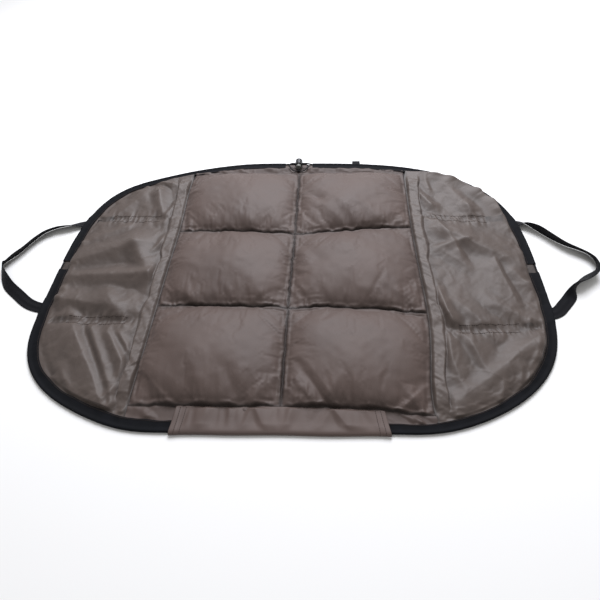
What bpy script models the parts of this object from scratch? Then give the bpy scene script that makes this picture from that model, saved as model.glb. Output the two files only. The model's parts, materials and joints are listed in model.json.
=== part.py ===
"""Unhooking mat laid flat: two padded columns of three pillows, two loose wings, bound edge and two handles.

Metres, +Z up, +Y to the back edge, origin on the ground under the middle of the mat. The right-hand pieces
are worked out first, and each left-hand piece is their mirror image, with its own folds.
"""

import math

import bmesh
import bpy
import numpy as np
from mathutils import Matrix

# Clearance between pieces that lie, or are sewn, against one another
GAP = 0.0003
HALF_GAP = GAP / 2

# Cloth, webbing and sheet thicknesses
SHEET_THICK = 0.0010
CLOTH_THICK = 0.0007
WEB_THICK = 0.0015

# Padded panel: two columns of pillows, middle seam on x = 0
COLUMN_WIDTH = 0.275
ROW_DEPTH = 0.220
ROW_COUNT = 3
PILLOW_HEIGHT = 0.033
SEAM_FLAT = 0.004
SIDE_DRAW = 0.005
END_DRAW = 0.004
PAD_SLACK = 0.0006
PILLOW_FULLNESS = 0.55
PILLOW_STEPS = 9

# Outline of the whole mat, a superellipse with its own back and front halves, and its margins round the panel
WING_WIDTH = 0.220
BACK_MARGIN = 0.040
FRONT_MARGIN = 0.050
BACK_SQUARENESS = 3.0
FRONT_SQUARENESS = 3.5
OUTLINE_STEPS = 34
DENSE_STEPS = 4000
DENSE_STRIDE = 10

# Binding tape, folded round the drawcord
BINDING_WIDTH = 0.0205
TAPE_THICK = 0.0007
CORD_RADIUS = 0.0016
CORD_SLACK = 0.0007
SIDE_OPENING = 0.024
BACK_OPENING = 0.072
TAPE_CURVE_POINTS = 6

# Wings and side pleats
PLEAT_WIDTH = 0.030
PLEAT_HEIGHT = 0.013
PLEAT_STEPS_ACROSS = 5
PLEAT_STEPS_ALONG = 32
PLEAT_PUCKER_SHARE = 0.22
WING_SWELL = 0.0022
WING_EDGE_TAPER = 0.030
WING_STEPS_ACROSS = 9
WING_END_STEPS = 11
WING_MIDDLE_STEPS = 14
WING_CORNER_CUT = 0.008
CHANNEL_Y = 0.150
CHANNEL_REACH = 0.016
ELASTIC_WIDTH = 0.012
ELASTIC_THICK = 0.0008
ELASTIC_INSET = 0.022
ELASTIC_END_INSET = 0.040

# Handles of webbing, sewn in under the binding
WEB_WIDTH = 0.025
HANDLE_BACK_Y = 0.138
HANDLE_FRONT_Y = -0.118
HANDLE_REACH = 0.128
HANDLE_SEWN_LENGTH = 0.080
HANDLE_OVERHANG = 0.005
HANDLE_STEPS = 30
LIFT_RAMP = 0.016

# Front flap, sewn in the front seam of the panel
FLAP_HALF_WIDTH = 0.185
FLAP_SWELL = 0.003
FLAP_STEPS = 20
FLAP_STEPS_ALONG = 3
FLAP_LIP_CLEAR = 0.0006

# Cord lock at the middle of the back edge, its button facing the panel
LOCK_RADIUS = 0.0095
LOCK_LENGTH = 0.020
LOCK_BACK_OVERHANG = 0.001
LOCK_WALL = 0.003
LOCK_EDGE_ROUND = 0.0012
LOCK_TRAVEL = 0.004
BUTTON_RADIUS = 0.0065
BUTTON_OUT = 0.009
BUTTON_TRAVEL = 0.003
BUTTON_TAIL = 0.0026
BORE_CLEAR = 0.0003
CORD_PITCH = 0.0035
CORD_HOLE_CLEAR = 0.0003
CORD_HOLE_FROM_FRONT = 0.007
CORD_BEND_STEPS = 3
ROUND_SEGMENTS = 24
CUT_OVERRUN = 0.002

# Return spring of the button
SPRING_RADIUS = 0.0040
SPRING_WIRE_RADIUS = 0.00025
SPRING_TURNS = 3
SPRING_POINTS_A_TURN = 10

# Knot that joins the two tails of the drawcord
KNOT_HALF_X = 0.0042
KNOT_HALF_Y = 0.0034
KNOT_HALF_Z = 0.0030
KNOT_SEGMENTS = 12
KNOT_RINGS = 8
KNOT_FROM_PANEL = 0.0052

# Folded webbing loop on the back edge
LOOP_X = 0.153
LOOP_WIDTH = 0.020
LOOP_THICK = 0.0012
LOOP_REACH = 0.0135
LOOP_OPENING = 0.0010
LOOP_FOLD_STEPS = 6

# Levels in the stack of layers, from the ground up
COVER_TOP = SHEET_THICK + GAP + CLOTH_THICK
WING_TOP = WEB_THICK + GAP + CLOTH_THICK
LEG_BOTTOM = WING_TOP + GAP
LEG_TOP = LEG_BOTTOM + TAPE_THICK

# The mat's outline, from the panel out
PANEL_END = ROW_DEPTH * ROW_COUNT / 2
WING_HINGE_X = COLUMN_WIDTH + PLEAT_WIDTH
MAT_HALF_WIDTH = WING_HINGE_X + WING_WIDTH
MAT_BACK = PANEL_END + BACK_MARGIN
MAT_FRONT = PANEL_END + FRONT_MARGIN

# Fold lines and what they follow from
BEAD_INNER = CORD_RADIUS + CORD_SLACK
BEAD_RADIUS = BEAD_INNER + TAPE_THICK
BEAD_TOP = 2 * BEAD_RADIUS
LOWER_LEG_WIDTH = BEAD_RADIUS + 5 * TAPE_THICK
SHEET_INSET = LOWER_LEG_WIDTH + GAP
TAPE_CLEAR_INSET = BINDING_WIDTH + 3 * CLOTH_THICK
BEAD_LIFT = WEB_THICK + GAP
WING_HINGE_Z = BEAD_TOP + GAP
HANDLE_HINGE_X = MAT_HALF_WIDTH + HANDLE_OVERHANG
HANDLE_HINGE_Z = WEB_THICK + GAP
FLAP_BACK_TOP = COVER_TOP + GAP + CLOTH_THICK
FLAP_HINGE_Z = FLAP_BACK_TOP + GAP
LOCK_Y = MAT_BACK + LOCK_BACK_OVERHANG - LOCK_LENGTH / 2
LOCK_Z = COVER_TOP + GAP + LOCK_RADIUS
LOCK_FRONT = LOCK_Y - LOCK_LENGTH / 2
CORD_HOLE_Y = LOCK_FRONT + CORD_HOLE_FROM_FRONT
KNOT_Z = COVER_TOP + GAP + KNOT_HALF_Z + GAP

# Route of a handle from its back end round to its front end: share of the reach, then share of the span
HANDLE_ROUTE_SHARES = (
    (0.00, 0.00), (0.10, 0.00), (0.26, 0.015), (0.50, 0.07), (0.72, 0.18), (0.90, 0.33), (1.00, 0.49),
    (0.93, 0.60), (0.70, 0.71), (0.46, 0.83), (0.24, 0.94), (0.10, 1.00), (0.00, 1.00),
)
HANDLE_TWIST_SHARES = (0.05, 0.28, 0.74, 0.95)

# Soft folds of each wing: start and end as shares of the wing's width and of the mat's back depth, then the
# share of the fold height that each reaches
FOLD_HEIGHT = 0.010
FOLD_HALF_WIDTH = 0.022
WING_FOLD_SHARES = {
    1: (
        (0.20, 0.45, 0.42, 0.80, 0.9), (0.10, 0.30, 0.55, 0.36, 0.7), (0.08, 0.22, 0.80, -0.06, 1.0),
        (0.12, 0.02, 0.85, -0.28, 0.9), (0.15, -0.46, 0.42, -0.84, 1.0), (0.50, -0.46, 0.74, -0.66, 0.7),
        (0.55, 0.46, 0.80, 0.60, 0.6),
    ),
    -1: (
        (0.15, 0.46, 0.50, 0.76, 0.8), (0.10, 0.34, 0.35, 0.10, 0.9), (0.25, 0.10, 0.88, -0.02, 1.0),
        (0.15, -0.08, 0.70, -0.30, 0.8), (0.10, -0.48, 0.55, -0.78, 1.0), (0.45, -0.44, 0.80, -0.58, 0.8),
        (0.60, 0.44, 0.84, 0.52, 0.6),
    ),
}

# Folds of the flap: place as a share of its half-width, and height as a share of its swell
FLAP_FOLD_SHARES = ((-0.80, 1.0), (-0.50, 0.5), (-0.30, 0.8), (0.12, 1.0), (0.55, 0.6), (0.85, 0.8))
FLAP_FOLD_WIDTH_SHARE = 0.09

# Places of a cord's tail on its way into the lock, and then to the knot: shares of the way in plan and height
CORD_IN_SHARES = ((0.45, 0.15, 0.30), (0.80, 0.70, 0.80))
CORD_OUT_SHARES = ((1.00, 0.10, 0.96), (1.15, 0.40, 0.70), (0.80, 0.84, 0.25), (0.45, 0.97, 0.05))

# Base colours (linear), roughness and metallic value of each material
FINISHES = {
    "nylon_cover": ((0.118, 0.085, 0.066), 0.50, 0.0),
    "nylon_wing": ((0.128, 0.098, 0.082), 0.45, 0.0),
    "ground_cloth": ((0.080, 0.062, 0.052), 0.60, 0.0),
    "binding_tape": ((0.012, 0.014, 0.020), 0.80, 0.0),
    "webbing": ((0.008, 0.008, 0.010), 0.75, 0.0),
    "cord": ((0.006, 0.006, 0.006), 0.70, 0.0),
    "wadding": ((0.75, 0.74, 0.70), 0.95, 0.0),
    "elastic": ((0.70, 0.69, 0.66), 0.85, 0.0),
    "black_plastic": ((0.010, 0.010, 0.011), 0.40, 0.0),
    "grey_plastic": ((0.33, 0.34, 0.32), 0.45, 0.0),
    "spring_steel": ((0.50, 0.50, 0.50), 0.30, 1.0),
}


def clear_scene():
    for old in list(bpy.data.objects):
        bpy.data.objects.remove(old)


def material(slot):
    """The Principled material of one slot, made on its first use."""
    found = bpy.data.materials.get(slot)
    if found:
        return found
    colour, roughness, metallic = FINISHES[slot]
    made = bpy.data.materials.new(slot)
    made.use_nodes = True
    shader = made.node_tree.nodes["Principled BSDF"]
    shader.inputs["Base Color"].default_value = (*colour, 1.0)
    shader.inputs["Roughness"].default_value = roughness
    shader.inputs["Metallic"].default_value = metallic
    return made


def add_joint(name, place, parent=None):
    """An empty at a point of a joint's axis, which carries the pieces that move there."""
    joint = bpy.data.objects.new(name, None)
    bpy.context.scene.collection.objects.link(joint)
    joint["place"] = place
    joint.parent = parent
    base = parent["place"] if parent else (0.0, 0.0, 0.0)
    joint.location = [here - there for here, there in zip(place, base)]
    return joint


def place_object(piece, slot, joint):
    """Gives a piece its material and hangs it on its joint's empty, at its real place."""
    piece.data.materials.append(material(slot))
    bpy.context.scene.collection.objects.link(piece)
    piece.parent = joint
    piece.location = [-here for here in joint["place"]]
    return piece


def finish_mesh(name, mesh_data, slot, joint, smooth=True):
    """Turns a bmesh into a named object with its faces pointing out."""
    bmesh.ops.recalc_face_normals(mesh_data, faces=mesh_data.faces)
    data = bpy.data.meshes.new(name)
    mesh_data.to_mesh(data)
    mesh_data.free()
    if smooth:
        data.shade_smooth()
        data.set_sharp_from_angle(angle=math.radians(40))
    return place_object(bpy.data.objects.new(name, data), slot, joint)


def mirrored(points, side):
    """Points of the right-hand piece, or their mirror image across x = 0."""
    return np.asarray(points, float) * np.array([side, 1.0, 1.0])


def thick_surface(name, points, faces, thickness, slot, joint, side):
    """A cloth piece: a surface given by its top, extruded down by its thickness."""
    mesh_data = bmesh.new()
    corners = [mesh_data.verts.new(point) for point in mirrored(points, side)]
    for face in faces:
        mesh_data.faces.new([corners[index] for index in face])
    bmesh.ops.recalc_face_normals(mesh_data, faces=mesh_data.faces)
    grown = bmesh.ops.extrude_face_region(mesh_data, geom=mesh_data.faces[:])
    moved = [part for part in grown["geom"] if isinstance(part, bmesh.types.BMVert)]
    bmesh.ops.translate(mesh_data, verts=moved, vec=(0.0, 0.0, -thickness))
    return finish_mesh(name, mesh_data, slot, joint)


def both_sides(points):
    """A right-hand run of points that starts at x = 0, led up to by its own mirror image."""
    points = np.asarray(points, float)
    return np.concatenate([mirrored(points[:0:-1], -1), points])


def grid_faces(rows, columns):
    """Triangles of a grid, all cut along the same diagonal, so that layers on one grid stay parallel."""
    faces = []
    for row in range(rows - 1):
        for column in range(columns - 1):
            first = row * columns + column
            above = first + columns
            faces.append((first, first + 1, above + 1))
            faces.append((first, above + 1, above))
    return faces


def loft(name, rings, slot, joint, side):
    """A solid through closed rings of points, capped at both ends."""
    mesh_data = bmesh.new()
    loops = [[mesh_data.verts.new(point) for point in mirrored(ring, side)] for ring in rings]
    count = len(loops[0])
    for lower, upper in zip(loops[:-1], loops[1:]):
        for index in range(count):
            after = (index + 1) % count
            mesh_data.faces.new((lower[index], lower[after], upper[after], upper[index]))
    mesh_data.faces.new(loops[0])
    mesh_data.faces.new(loops[-1])
    return finish_mesh(name, mesh_data, slot, joint)


def box(name, low, high, slot, joint, side):
    """A straight length of tape between two corners."""
    low, high = np.array(low), np.array(high)
    ring = [(low[0], low[1]), (high[0], low[1]), (high[0], high[1]), (low[0], high[1])]
    rings = [[(x, y, level) for x, y in ring] for level in (low[2], high[2])]
    return loft(name, rings, slot, joint, side)


def tube(name, route, radius, slot, joint, side=1, resolution=1):
    """A cord or wire: a poly spline with a round bevel and filled ends."""
    curve = bpy.data.curves.new(name, "CURVE")
    curve.dimensions = "3D"
    curve.bevel_depth = radius
    curve.bevel_resolution = resolution
    curve.use_fill_caps = True
    spline = curve.splines.new("POLY")
    route = mirrored(route, side)
    spline.points.add(len(route) - 1)
    for point, place in zip(spline.points, route):
        point.co = (*place, 1.0)
    return place_object(bpy.data.objects.new(name, curve), slot, joint)


def smooth_route(points, steps_each):
    """Points of a Catmull-Rom curve through the route's own points."""
    points = np.asarray(points, float)
    padded = np.vstack([2 * points[0] - points[1], points, 2 * points[-1] - points[-2]])
    share = np.linspace(0.0, 1.0, steps_each, endpoint=False)[:, None]
    runs = []
    for before, start, end, after in zip(padded, padded[1:], padded[2:], padded[3:]):
        bend = 2 * before - 5 * start + 4 * end - after
        twist = 3 * start - before - 3 * end + after
        runs.append(start + ((end - before) * share + bend * share**2 + twist * share**3) / 2)
    return np.vstack(runs + [points[-1:]])


def smooth_step(value):
    """0 below 0, 1 above 1, with an even rise between."""
    value = np.clip(value, 0.0, 1.0)
    return value * value * (3 - 2 * value)


class Rim:
    """The mat's right-hand outline, by arc length from the front middle to the back middle."""

    def __init__(self):
        angle = np.radians(np.linspace(-90, 90, DENSE_STEPS))
        depth = np.where(angle < 0, MAT_FRONT, MAT_BACK)
        power = np.where(angle < 0, FRONT_SQUARENESS, BACK_SQUARENESS)
        across = np.abs(np.cos(angle)) / MAT_HALF_WIDTH
        along = np.abs(np.sin(angle)) / depth
        radius = (across**power + along**power) ** (-1 / power)
        self.points = np.column_stack([radius * np.cos(angle), radius * np.sin(angle)])
        step = np.linalg.norm(np.diff(self.points, axis=0), axis=1)
        self.arc = np.concatenate([[0.0], np.cumsum(step)])
        tangent = np.gradient(self.points, axis=0)
        tangent /= np.linalg.norm(tangent, axis=1)[:, None]
        tangent[0], tangent[-1] = (1.0, 0.0), (-1.0, 0.0)
        self.inward = np.column_stack([-tangent[:, 1], tangent[:, 0]])
        self.turned = np.concatenate([[0.0], np.cumsum(np.linalg.norm(np.diff(tangent, axis=0), axis=1))])
        self.middle = int(np.argmax(self.points[:, 0]))
        self.stations = self.all_stations()

    def offset(self, inset):
        return self.points + self.inward * inset

    def at(self, arc, inset):
        """The point at an arc length, moved in from the edge."""
        curve = self.offset(inset)
        return np.column_stack([np.interp(arc, self.arc, curve[:, 0]), np.interp(arc, self.arc, curve[:, 1])])

    def side_x(self, y, inset):
        """How far out the inset outline is at y."""
        curve = self.offset(inset)
        return np.interp(y, curve[:, 1], curve[:, 0])

    def end_y(self, part, x, inset):
        """Where the inset outline's front or back is at x."""
        curve = self.offset(inset)
        if part == "front":
            return np.interp(x, curve[: self.middle, 0], curve[: self.middle, 1])
        return np.interp(-np.asarray(x), -curve[self.middle :, 0], curve[self.middle :, 1])

    def cut(self, where, inset):
        """Arc length where the inset outline meets a plane: front or back with an x, side with a y."""
        part, value = where
        curve = self.offset(inset)
        y = value if part == "side" else self.end_y(part, value, inset)
        return float(np.interp(y, curve[:, 1], self.arc))

    def all_stations(self):
        """Steps closer together where the outline bends, and one at each edge of what the binding covers."""
        progress = self.arc / self.arc[-1] + self.turned / self.turned[-1]
        even = np.interp(np.linspace(0.0, progress[-1], OUTLINE_STEPS + 1), progress, self.arc)
        edges = []
        for middle in (HANDLE_BACK_Y, HANDLE_FRONT_Y):
            for reach in (WEB_WIDTH / 2 + GAP, WEB_WIDTH / 2 + 4 * GAP + LIFT_RAMP):
                edges += [self.cut(("side", middle - reach), BEAD_RADIUS)]
                edges += [self.cut(("side", middle + reach), BEAD_RADIUS)]
        kept = [arc for arc in even if min(abs(arc - edge) for edge in edges) > LIFT_RAMP / 2]
        return np.sort(np.array(kept + edges))

    def run(self, start, end, inset):
        """Stations from one cut to another. The ends follow the inset, and the rest stay the same."""
        starts = [self.cut(start, depth) for depth in (0.0, BINDING_WIDTH)]
        ends = [self.cut(end, depth) for depth in (0.0, BINDING_WIDTH)]
        margin = WEB_THICK
        inside = self.stations[(self.stations > max(starts) + margin) & (self.stations < min(ends) - margin)]
        return np.concatenate([[self.cut(start, inset)], inside, [self.cut(end, inset)]])

    def line(self, start, end, inset):
        return self.at(self.run(start, end, inset), inset)


RIM = Rim()
CENTRE_FRONT = ("front", 0.0)
CENTRE_BACK = ("back", 0.0)
HALF_FRONT = ("front", WING_HINGE_X - HALF_GAP)
HALF_BACK = ("back", WING_HINGE_X - HALF_GAP)
WING_FRONT = ("front", WING_HINGE_X + HALF_GAP)
WING_BACK = ("back", WING_HINGE_X + HALF_GAP)
OPENING_FRONT = ("side", -SIDE_OPENING / 2)
OPENING_BACK = ("side", SIDE_OPENING / 2)
LOCK_OPENING = ("back", BACK_OPENING / 2)


def bead_lift(y, inset):
    """How far the binding rises where a handle's webbing passes under it."""
    rise = np.zeros_like(y)
    for middle in (HANDLE_BACK_Y, HANDLE_FRONT_Y):
        past = np.abs(y - middle) - WEB_WIDTH / 2 - 4 * GAP
        rise = np.maximum(rise, np.clip(1 - past / LIFT_RAMP, 0.0, 1.0))
    fade = np.clip((BINDING_WIDTH - inset) / (BINDING_WIDTH - SHEET_INSET), 0.0, 1.0)
    return BEAD_LIFT * rise * fade


def binding_section():
    """The folded tape's outline as (inset, height): lower leg, fold round the cord, wide upper leg."""
    angles = np.radians(np.linspace(-90, 120, TAPE_CURVE_POINTS))
    outer = [(BEAD_RADIUS * (1 - math.cos(a)), BEAD_RADIUS * (1 + math.sin(a))) for a in angles]
    inner = [(BEAD_RADIUS - BEAD_INNER * math.cos(a), BEAD_RADIUS + BEAD_INNER * math.sin(a)) for a in angles]
    shoulder = LOWER_LEG_WIDTH + 4 * TAPE_THICK
    upper = [(shoulder, LEG_TOP), (BINDING_WIDTH, LEG_TOP)]
    upper += [(BINDING_WIDTH, LEG_BOTTOM), (shoulder, LEG_BOTTOM)]
    lower = [(LOWER_LEG_WIDTH, TAPE_THICK), (LOWER_LEG_WIDTH, 0.0)]
    return outer + upper + inner[::-1] + lower


def binding_rings(start, end):
    """The binding's sections between two cuts."""
    columns = []
    for inset, height in binding_section():
        line = RIM.line(start, end, inset)
        columns.append(np.column_stack([line, height + bead_lift(line[:, 1], inset)]))
    return np.stack(columns, axis=1)


def cord_line(start, end):
    """The drawcord's middle line inside the binding's fold."""
    line = RIM.line(start, end, BEAD_RADIUS)
    return np.column_stack([line, BEAD_RADIUS + bead_lift(line[:, 1], BEAD_RADIUS)])


def trimmed(route, start_cut, end_cut):
    """A route with a little taken off each end, along its first and last step."""
    route = route.copy()
    for end, inner, cut in ((0, 1, start_cut), (-1, -2, end_cut)):
        step = route[inner] - route[end]
        route[end] += step * cut / np.linalg.norm(step)
    return route


def flat_piece(name, outline, thickness, slot, joint, side=1):
    """A flat sheet with the given plan outline, lying on the ground."""
    points = [(x, y, thickness) for x, y in outline]
    thick_surface(name, points, [list(range(len(points)))], thickness, slot, joint, side)


def make_middle_sheet(joint):
    """The ground sheet under the panel, from one wing's fold line to the other's."""
    front = RIM.line(CENTRE_FRONT, HALF_FRONT, SHEET_INSET)
    back = RIM.line(HALF_BACK, CENTRE_BACK, SHEET_INSET)
    right = np.vstack([front, back[:-1]])
    left = right[:0:-1] * (-1, 1)
    flat_piece("ground_sheet", np.vstack([right, back[-1:], left]), SHEET_THICK, "ground_cloth", joint)


def make_wing_sheet(name, joint, side):
    """The wing's ground sheet, notched at its rim for the handle's two sewn ends."""
    inner_end = HANDLE_HINGE_X - HANDLE_SEWN_LENGTH - GAP
    half = WEB_WIDTH / 2 + GAP
    outline = []
    start = WING_FRONT
    for middle in (HANDLE_FRONT_Y, HANDLE_BACK_Y):
        outline.append(RIM.line(start, ("side", middle - half), SHEET_INSET))
        outline.append([(inner_end, middle - half), (inner_end, middle + half)])
        start = ("side", middle + half)
    outline.append(RIM.line(start, WING_BACK, SHEET_INSET))
    flat_piece(name, np.vstack(outline), SHEET_THICK, "ground_cloth", joint, side)


def pillow_shares():
    """Node places across one pillow, closer together near its seams."""
    return (1 - np.cos(np.pi * np.arange(PILLOW_STEPS + 1) / PILLOW_STEPS)) / 2


def pillow_nodes(start, end):
    """Node places from seam to seam: a flat strip, the pillow, a flat strip."""
    low, high = start + SEAM_FLAT, end - SEAM_FLAT
    return np.concatenate([[start], low + (high - low) * pillow_shares(), [end]])


def pillow_rise(place, start, end):
    """0 on the flat strips, rising steeply and then levelling to 1 in the middle."""
    share = (place - start - SEAM_FLAT) / (end - start - 2 * SEAM_FLAT)
    return np.sin(np.pi * np.clip(share, 0.0, 1.0)) ** PILLOW_FULLNESS


def side_pull(y):
    """How far the panel's side is pulled in at y by the filling of its pillow."""
    return SIDE_DRAW * np.sin(np.pi * (y + PANEL_END) / ROW_DEPTH) ** 2


def drawn_in(x, y):
    """Pulls the panel's sides and ends in between their seams, as the filling does."""
    end_pull = END_DRAW * np.sin(np.pi * x / COLUMN_WIDTH) ** 2 * (y / PANEL_END) ** 6
    return x - side_pull(y) * (x / COLUMN_WIDTH) ** 2, y - np.sign(y) * end_pull


def make_cover(name, joint, side):
    """The cover of one column: three pillows sewn down on every side, and flat cloth on to the binding."""
    columns = pillow_nodes(HALF_GAP, COLUMN_WIDTH)
    rows = []
    rises = []
    for row in range(ROW_COUNT):
        start = row * ROW_DEPTH - PANEL_END
        nodes = pillow_nodes(start, start + ROW_DEPTH)
        first = 0 if row == 0 else 1
        rows.append(nodes[first:])
        rises.append(pillow_rise(nodes, start, start + ROW_DEPTH)[first:])
    x, y = np.meshgrid(columns, np.concatenate(rows))
    across, along = np.meshgrid(pillow_rise(columns, HALF_GAP, COLUMN_WIDTH), np.concatenate(rises))
    z = COVER_TOP + PILLOW_HEIGHT * across * along
    x, y = drawn_in(x, y)
    flat = np.full_like(columns, COVER_TOP)
    ends = []
    for part in ("front", "back"):
        ends.append(np.column_stack([columns, RIM.end_y(part, columns, SHEET_INSET), flat]))
    points = np.concatenate([ends[:1], np.stack([x, y, z], axis=-1), ends[1:]])
    faces = grid_faces(*points.shape[:2])
    thick_surface(name, points.reshape(-1, 3), faces, CLOTH_THICK, "nylon_cover", joint, side)


def make_pad(name, row, joint, side):
    """The wadding of one pillow, which fills its cover to the cloth and lies flat on the ground sheet."""
    start = row * ROW_DEPTH - PANEL_END
    columns = pillow_nodes(HALF_GAP, COLUMN_WIDTH)[2:-2]
    rows = pillow_nodes(start, start + ROW_DEPTH)[2:-2]
    x, y = np.meshgrid(columns, rows)
    rise = pillow_rise(x, HALF_GAP, COLUMN_WIDTH) * pillow_rise(y, start, start + ROW_DEPTH)
    z = COVER_TOP + PILLOW_HEIGHT * rise - CLOTH_THICK - PAD_SLACK
    x, y = drawn_in(x, y)
    mesh_data = bmesh.new()
    top = [mesh_data.verts.new(point) for point in mirrored(np.stack([x, y, z], -1).reshape(-1, 3), side)]
    count, wide = z.shape
    for face in grid_faces(count, wide):
        mesh_data.faces.new([top[index] for index in face])
    rim = list(range(wide)) + [row * wide + wide - 1 for row in range(1, count)]
    rim += [(count - 1) * wide + column for column in range(wide - 2, -1, -1)]
    rim += [row * wide for row in range(count - 2, 0, -1)]
    bottom = [mesh_data.verts.new((top[index].co.x, top[index].co.y, SHEET_THICK + GAP)) for index in rim]
    for place, index in enumerate(rim):
        after = (place + 1) % len(rim)
        mesh_data.faces.new((top[index], top[rim[after]], bottom[after], bottom[place]))
    mesh_data.faces.new(bottom)
    finish_mesh(name, mesh_data, "wadding", joint)


def gathered(y):
    """How much a wing's cloth is let out at y: near 0 where an elastic gathers it, 1 away from both."""
    near = np.minimum(np.abs(y - CHANNEL_Y), np.abs(y + CHANNEL_Y)) / CHANNEL_REACH
    return smooth_step(near / 2)


def make_pleat(name, joint, side):
    """The roll of cloth along the panel's side seam, lowest at the channels and flat under the binding."""
    across = np.linspace(0.0, 1.0, PLEAT_STEPS_ACROSS + 1)
    along = np.linspace(0.0, 1.0, PLEAT_STEPS_ALONG + 1)[:, None]
    low, high = COLUMN_WIDTH + CLOTH_THICK, WING_HINGE_X - HALF_GAP
    x = np.broadcast_to(low + across * (high - low), (PLEAT_STEPS_ALONG + 1, PLEAT_STEPS_ACROSS + 1))
    front = RIM.end_y("front", x, TAPE_CLEAR_INSET)
    back = RIM.end_y("back", x, TAPE_CLEAR_INSET)
    y = front + along * (back - front)
    end_fade = smooth_step(np.minimum(y - front, back - y) / PLEAT_WIDTH)
    waves = np.sin(2 * np.pi * y / (3 * PLEAT_WIDTH) + side) * np.cos(2 * np.pi * y / (5 * PLEAT_WIDTH))
    height = PLEAT_HEIGHT * (1 + 3 * gathered(y)) / 4 * end_fade * (1 + PLEAT_PUCKER_SHARE * waves)
    z = WING_TOP + height * np.sin(np.pi * across)
    pulled = x - side_pull(np.clip(y, -PANEL_END, PANEL_END)) * (1 - across)
    flat = np.full_like(x, WING_TOP)
    ends = [np.stack([x, RIM.end_y(part, x, SHEET_INSET), flat], axis=-1)[:1] for part in ("front", "back")]
    points = np.concatenate([ends[0], np.stack([pulled, y, z], axis=-1), ends[1]])
    faces = grid_faces(*points.shape[:2])
    thick_surface(name, points.reshape(-1, 3), faces, CLOTH_THICK, "nylon_wing", joint, side)


def fold_height(x, y, side):
    """The wing's soft folds, each a rounded ridge that dies away at its ends."""
    width = MAT_HALF_WIDTH - WING_HINGE_X
    total = np.zeros_like(x)
    for start_x, start_y, end_x, end_y, size in WING_FOLD_SHARES[side]:
        start = np.array([WING_HINGE_X + start_x * width, start_y * MAT_BACK])
        reach = np.array([WING_HINGE_X + end_x * width, end_y * MAT_BACK]) - start
        length = np.hypot(*reach)
        along = ((x - start[0]) * reach[0] + (y - start[1]) * reach[1]) / length
        aside = ((x - start[0]) * reach[1] - (y - start[1]) * reach[0]) / length
        past = np.maximum(np.maximum(-along, along - length), 0.0)
        total = np.maximum(total, size * np.exp(-(aside**2 + past**2) / FOLD_HALF_WIDTH**2))
    return FOLD_HEIGHT * total


def eased_shares(count):
    """Even shares from 0 to 1, drawn a little closer together at both ends."""
    even = np.linspace(0.0, 1.0, count + 1)
    return (even + (1 - np.cos(np.pi * even)) / 2) / 2


def wing_grid():
    """Points in plan of the part of a wing inside its binding, in rows from the hinge to the tape.

    One row lies along each elastic channel. The second result is the same rows' last points, under the tape.
    """
    low = WING_HINGE_X + HALF_GAP
    hinge_y = [float(RIM.end_y(part, low, TAPE_CLEAR_INSET)) for part in ("front", "back")]
    hinge_marks = [hinge_y[0] + WING_CORNER_CUT, -CHANNEL_Y, CHANNEL_Y, hinge_y[1] - WING_CORNER_CUT]
    rim_marks = [RIM.cut(WING_FRONT, TAPE_CLEAR_INSET) + WING_CORNER_CUT]
    rim_marks += [RIM.cut(("side", y), TAPE_CLEAR_INSET) for y in (-CHANNEL_Y, CHANNEL_Y)]
    rim_marks += [RIM.cut(WING_BACK, TAPE_CLEAR_INSET) - WING_CORNER_CUT]
    hinge_rows, rim_rows = [], []
    for index, count in enumerate((WING_END_STEPS, WING_MIDDLE_STEPS, WING_END_STEPS)):
        shares = eased_shares(count)[0 if index == 0 else 1 :]
        hinge_rows.append(hinge_marks[index] + shares * (hinge_marks[index + 1] - hinge_marks[index]))
        rim_rows.append(rim_marks[index] + shares * (rim_marks[index + 1] - rim_marks[index]))
    rim_rows = np.concatenate(rim_rows)
    rim = RIM.at(rim_rows, TAPE_CLEAR_INSET)
    hinge = np.column_stack([np.full(len(rim), low), np.concatenate(hinge_rows)])
    across = np.linspace(0.0, 1.0, WING_STEPS_ACROSS + 1)[:, None]
    return hinge[:, None, :] + across * (rim - hinge)[:, None, :], RIM.at(rim_rows, SHEET_INSET)


def end_row(row, part):
    """The points of a grid's row moved along y to the sheet's edge."""
    return np.column_stack([row[:, 0], RIM.end_y(part, row[:, 0], SHEET_INSET), row[:, 2]])[None]


def make_wing_cover(name, joint, side):
    """The loose cloth of a wing: flat at its edges, swelling between the channels, with its main folds."""
    plan, outer = wing_grid()
    x, y = plan[..., 0], plan[..., 1]
    rim = RIM.offset(TAPE_CLEAR_INSET)[::DENSE_STRIDE]
    from_rim = np.min(np.hypot(x[..., None] - rim[:, 0], y[..., None] - rim[:, 1]), axis=-1)
    from_rim[:, -1] = 0.0
    from_hinge = x - WING_HINGE_X - HALF_GAP
    taper = smooth_step(from_rim / WING_EDGE_TAPER) * smooth_step(from_hinge / WING_EDGE_TAPER)
    taper[[0, -1]] = 0.0
    swell = WING_SWELL + (WING_SWELL + fold_height(x, y, side)) * gathered(y)
    inside = np.stack([x, y, WING_TOP + taper * swell], axis=-1)
    edge = np.column_stack([outer, np.full(len(outer), WING_TOP)])[:, None]
    rows = np.concatenate([inside, edge], axis=1)
    last = rows.copy()
    last[:, -1] = (rows[:, -2] + rows[:, -1]) / 2
    points = np.concatenate([end_row(last[0], "front"), rows, end_row(last[-1], "back")])
    faces = grid_faces(*points.shape[:2])
    thick_surface(name, points.reshape(-1, 3), faces, CLOTH_THICK, "nylon_wing", joint, side)


def make_elastic(name, y, end_x, joint, side):
    low = (WING_HINGE_X + ELASTIC_INSET, y - ELASTIC_WIDTH / 2, SHEET_THICK + GAP)
    high = (end_x, y + ELASTIC_WIDTH / 2, SHEET_THICK + GAP + ELASTIC_THICK)
    box(name, low, high, "elastic", joint, side)


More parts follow.
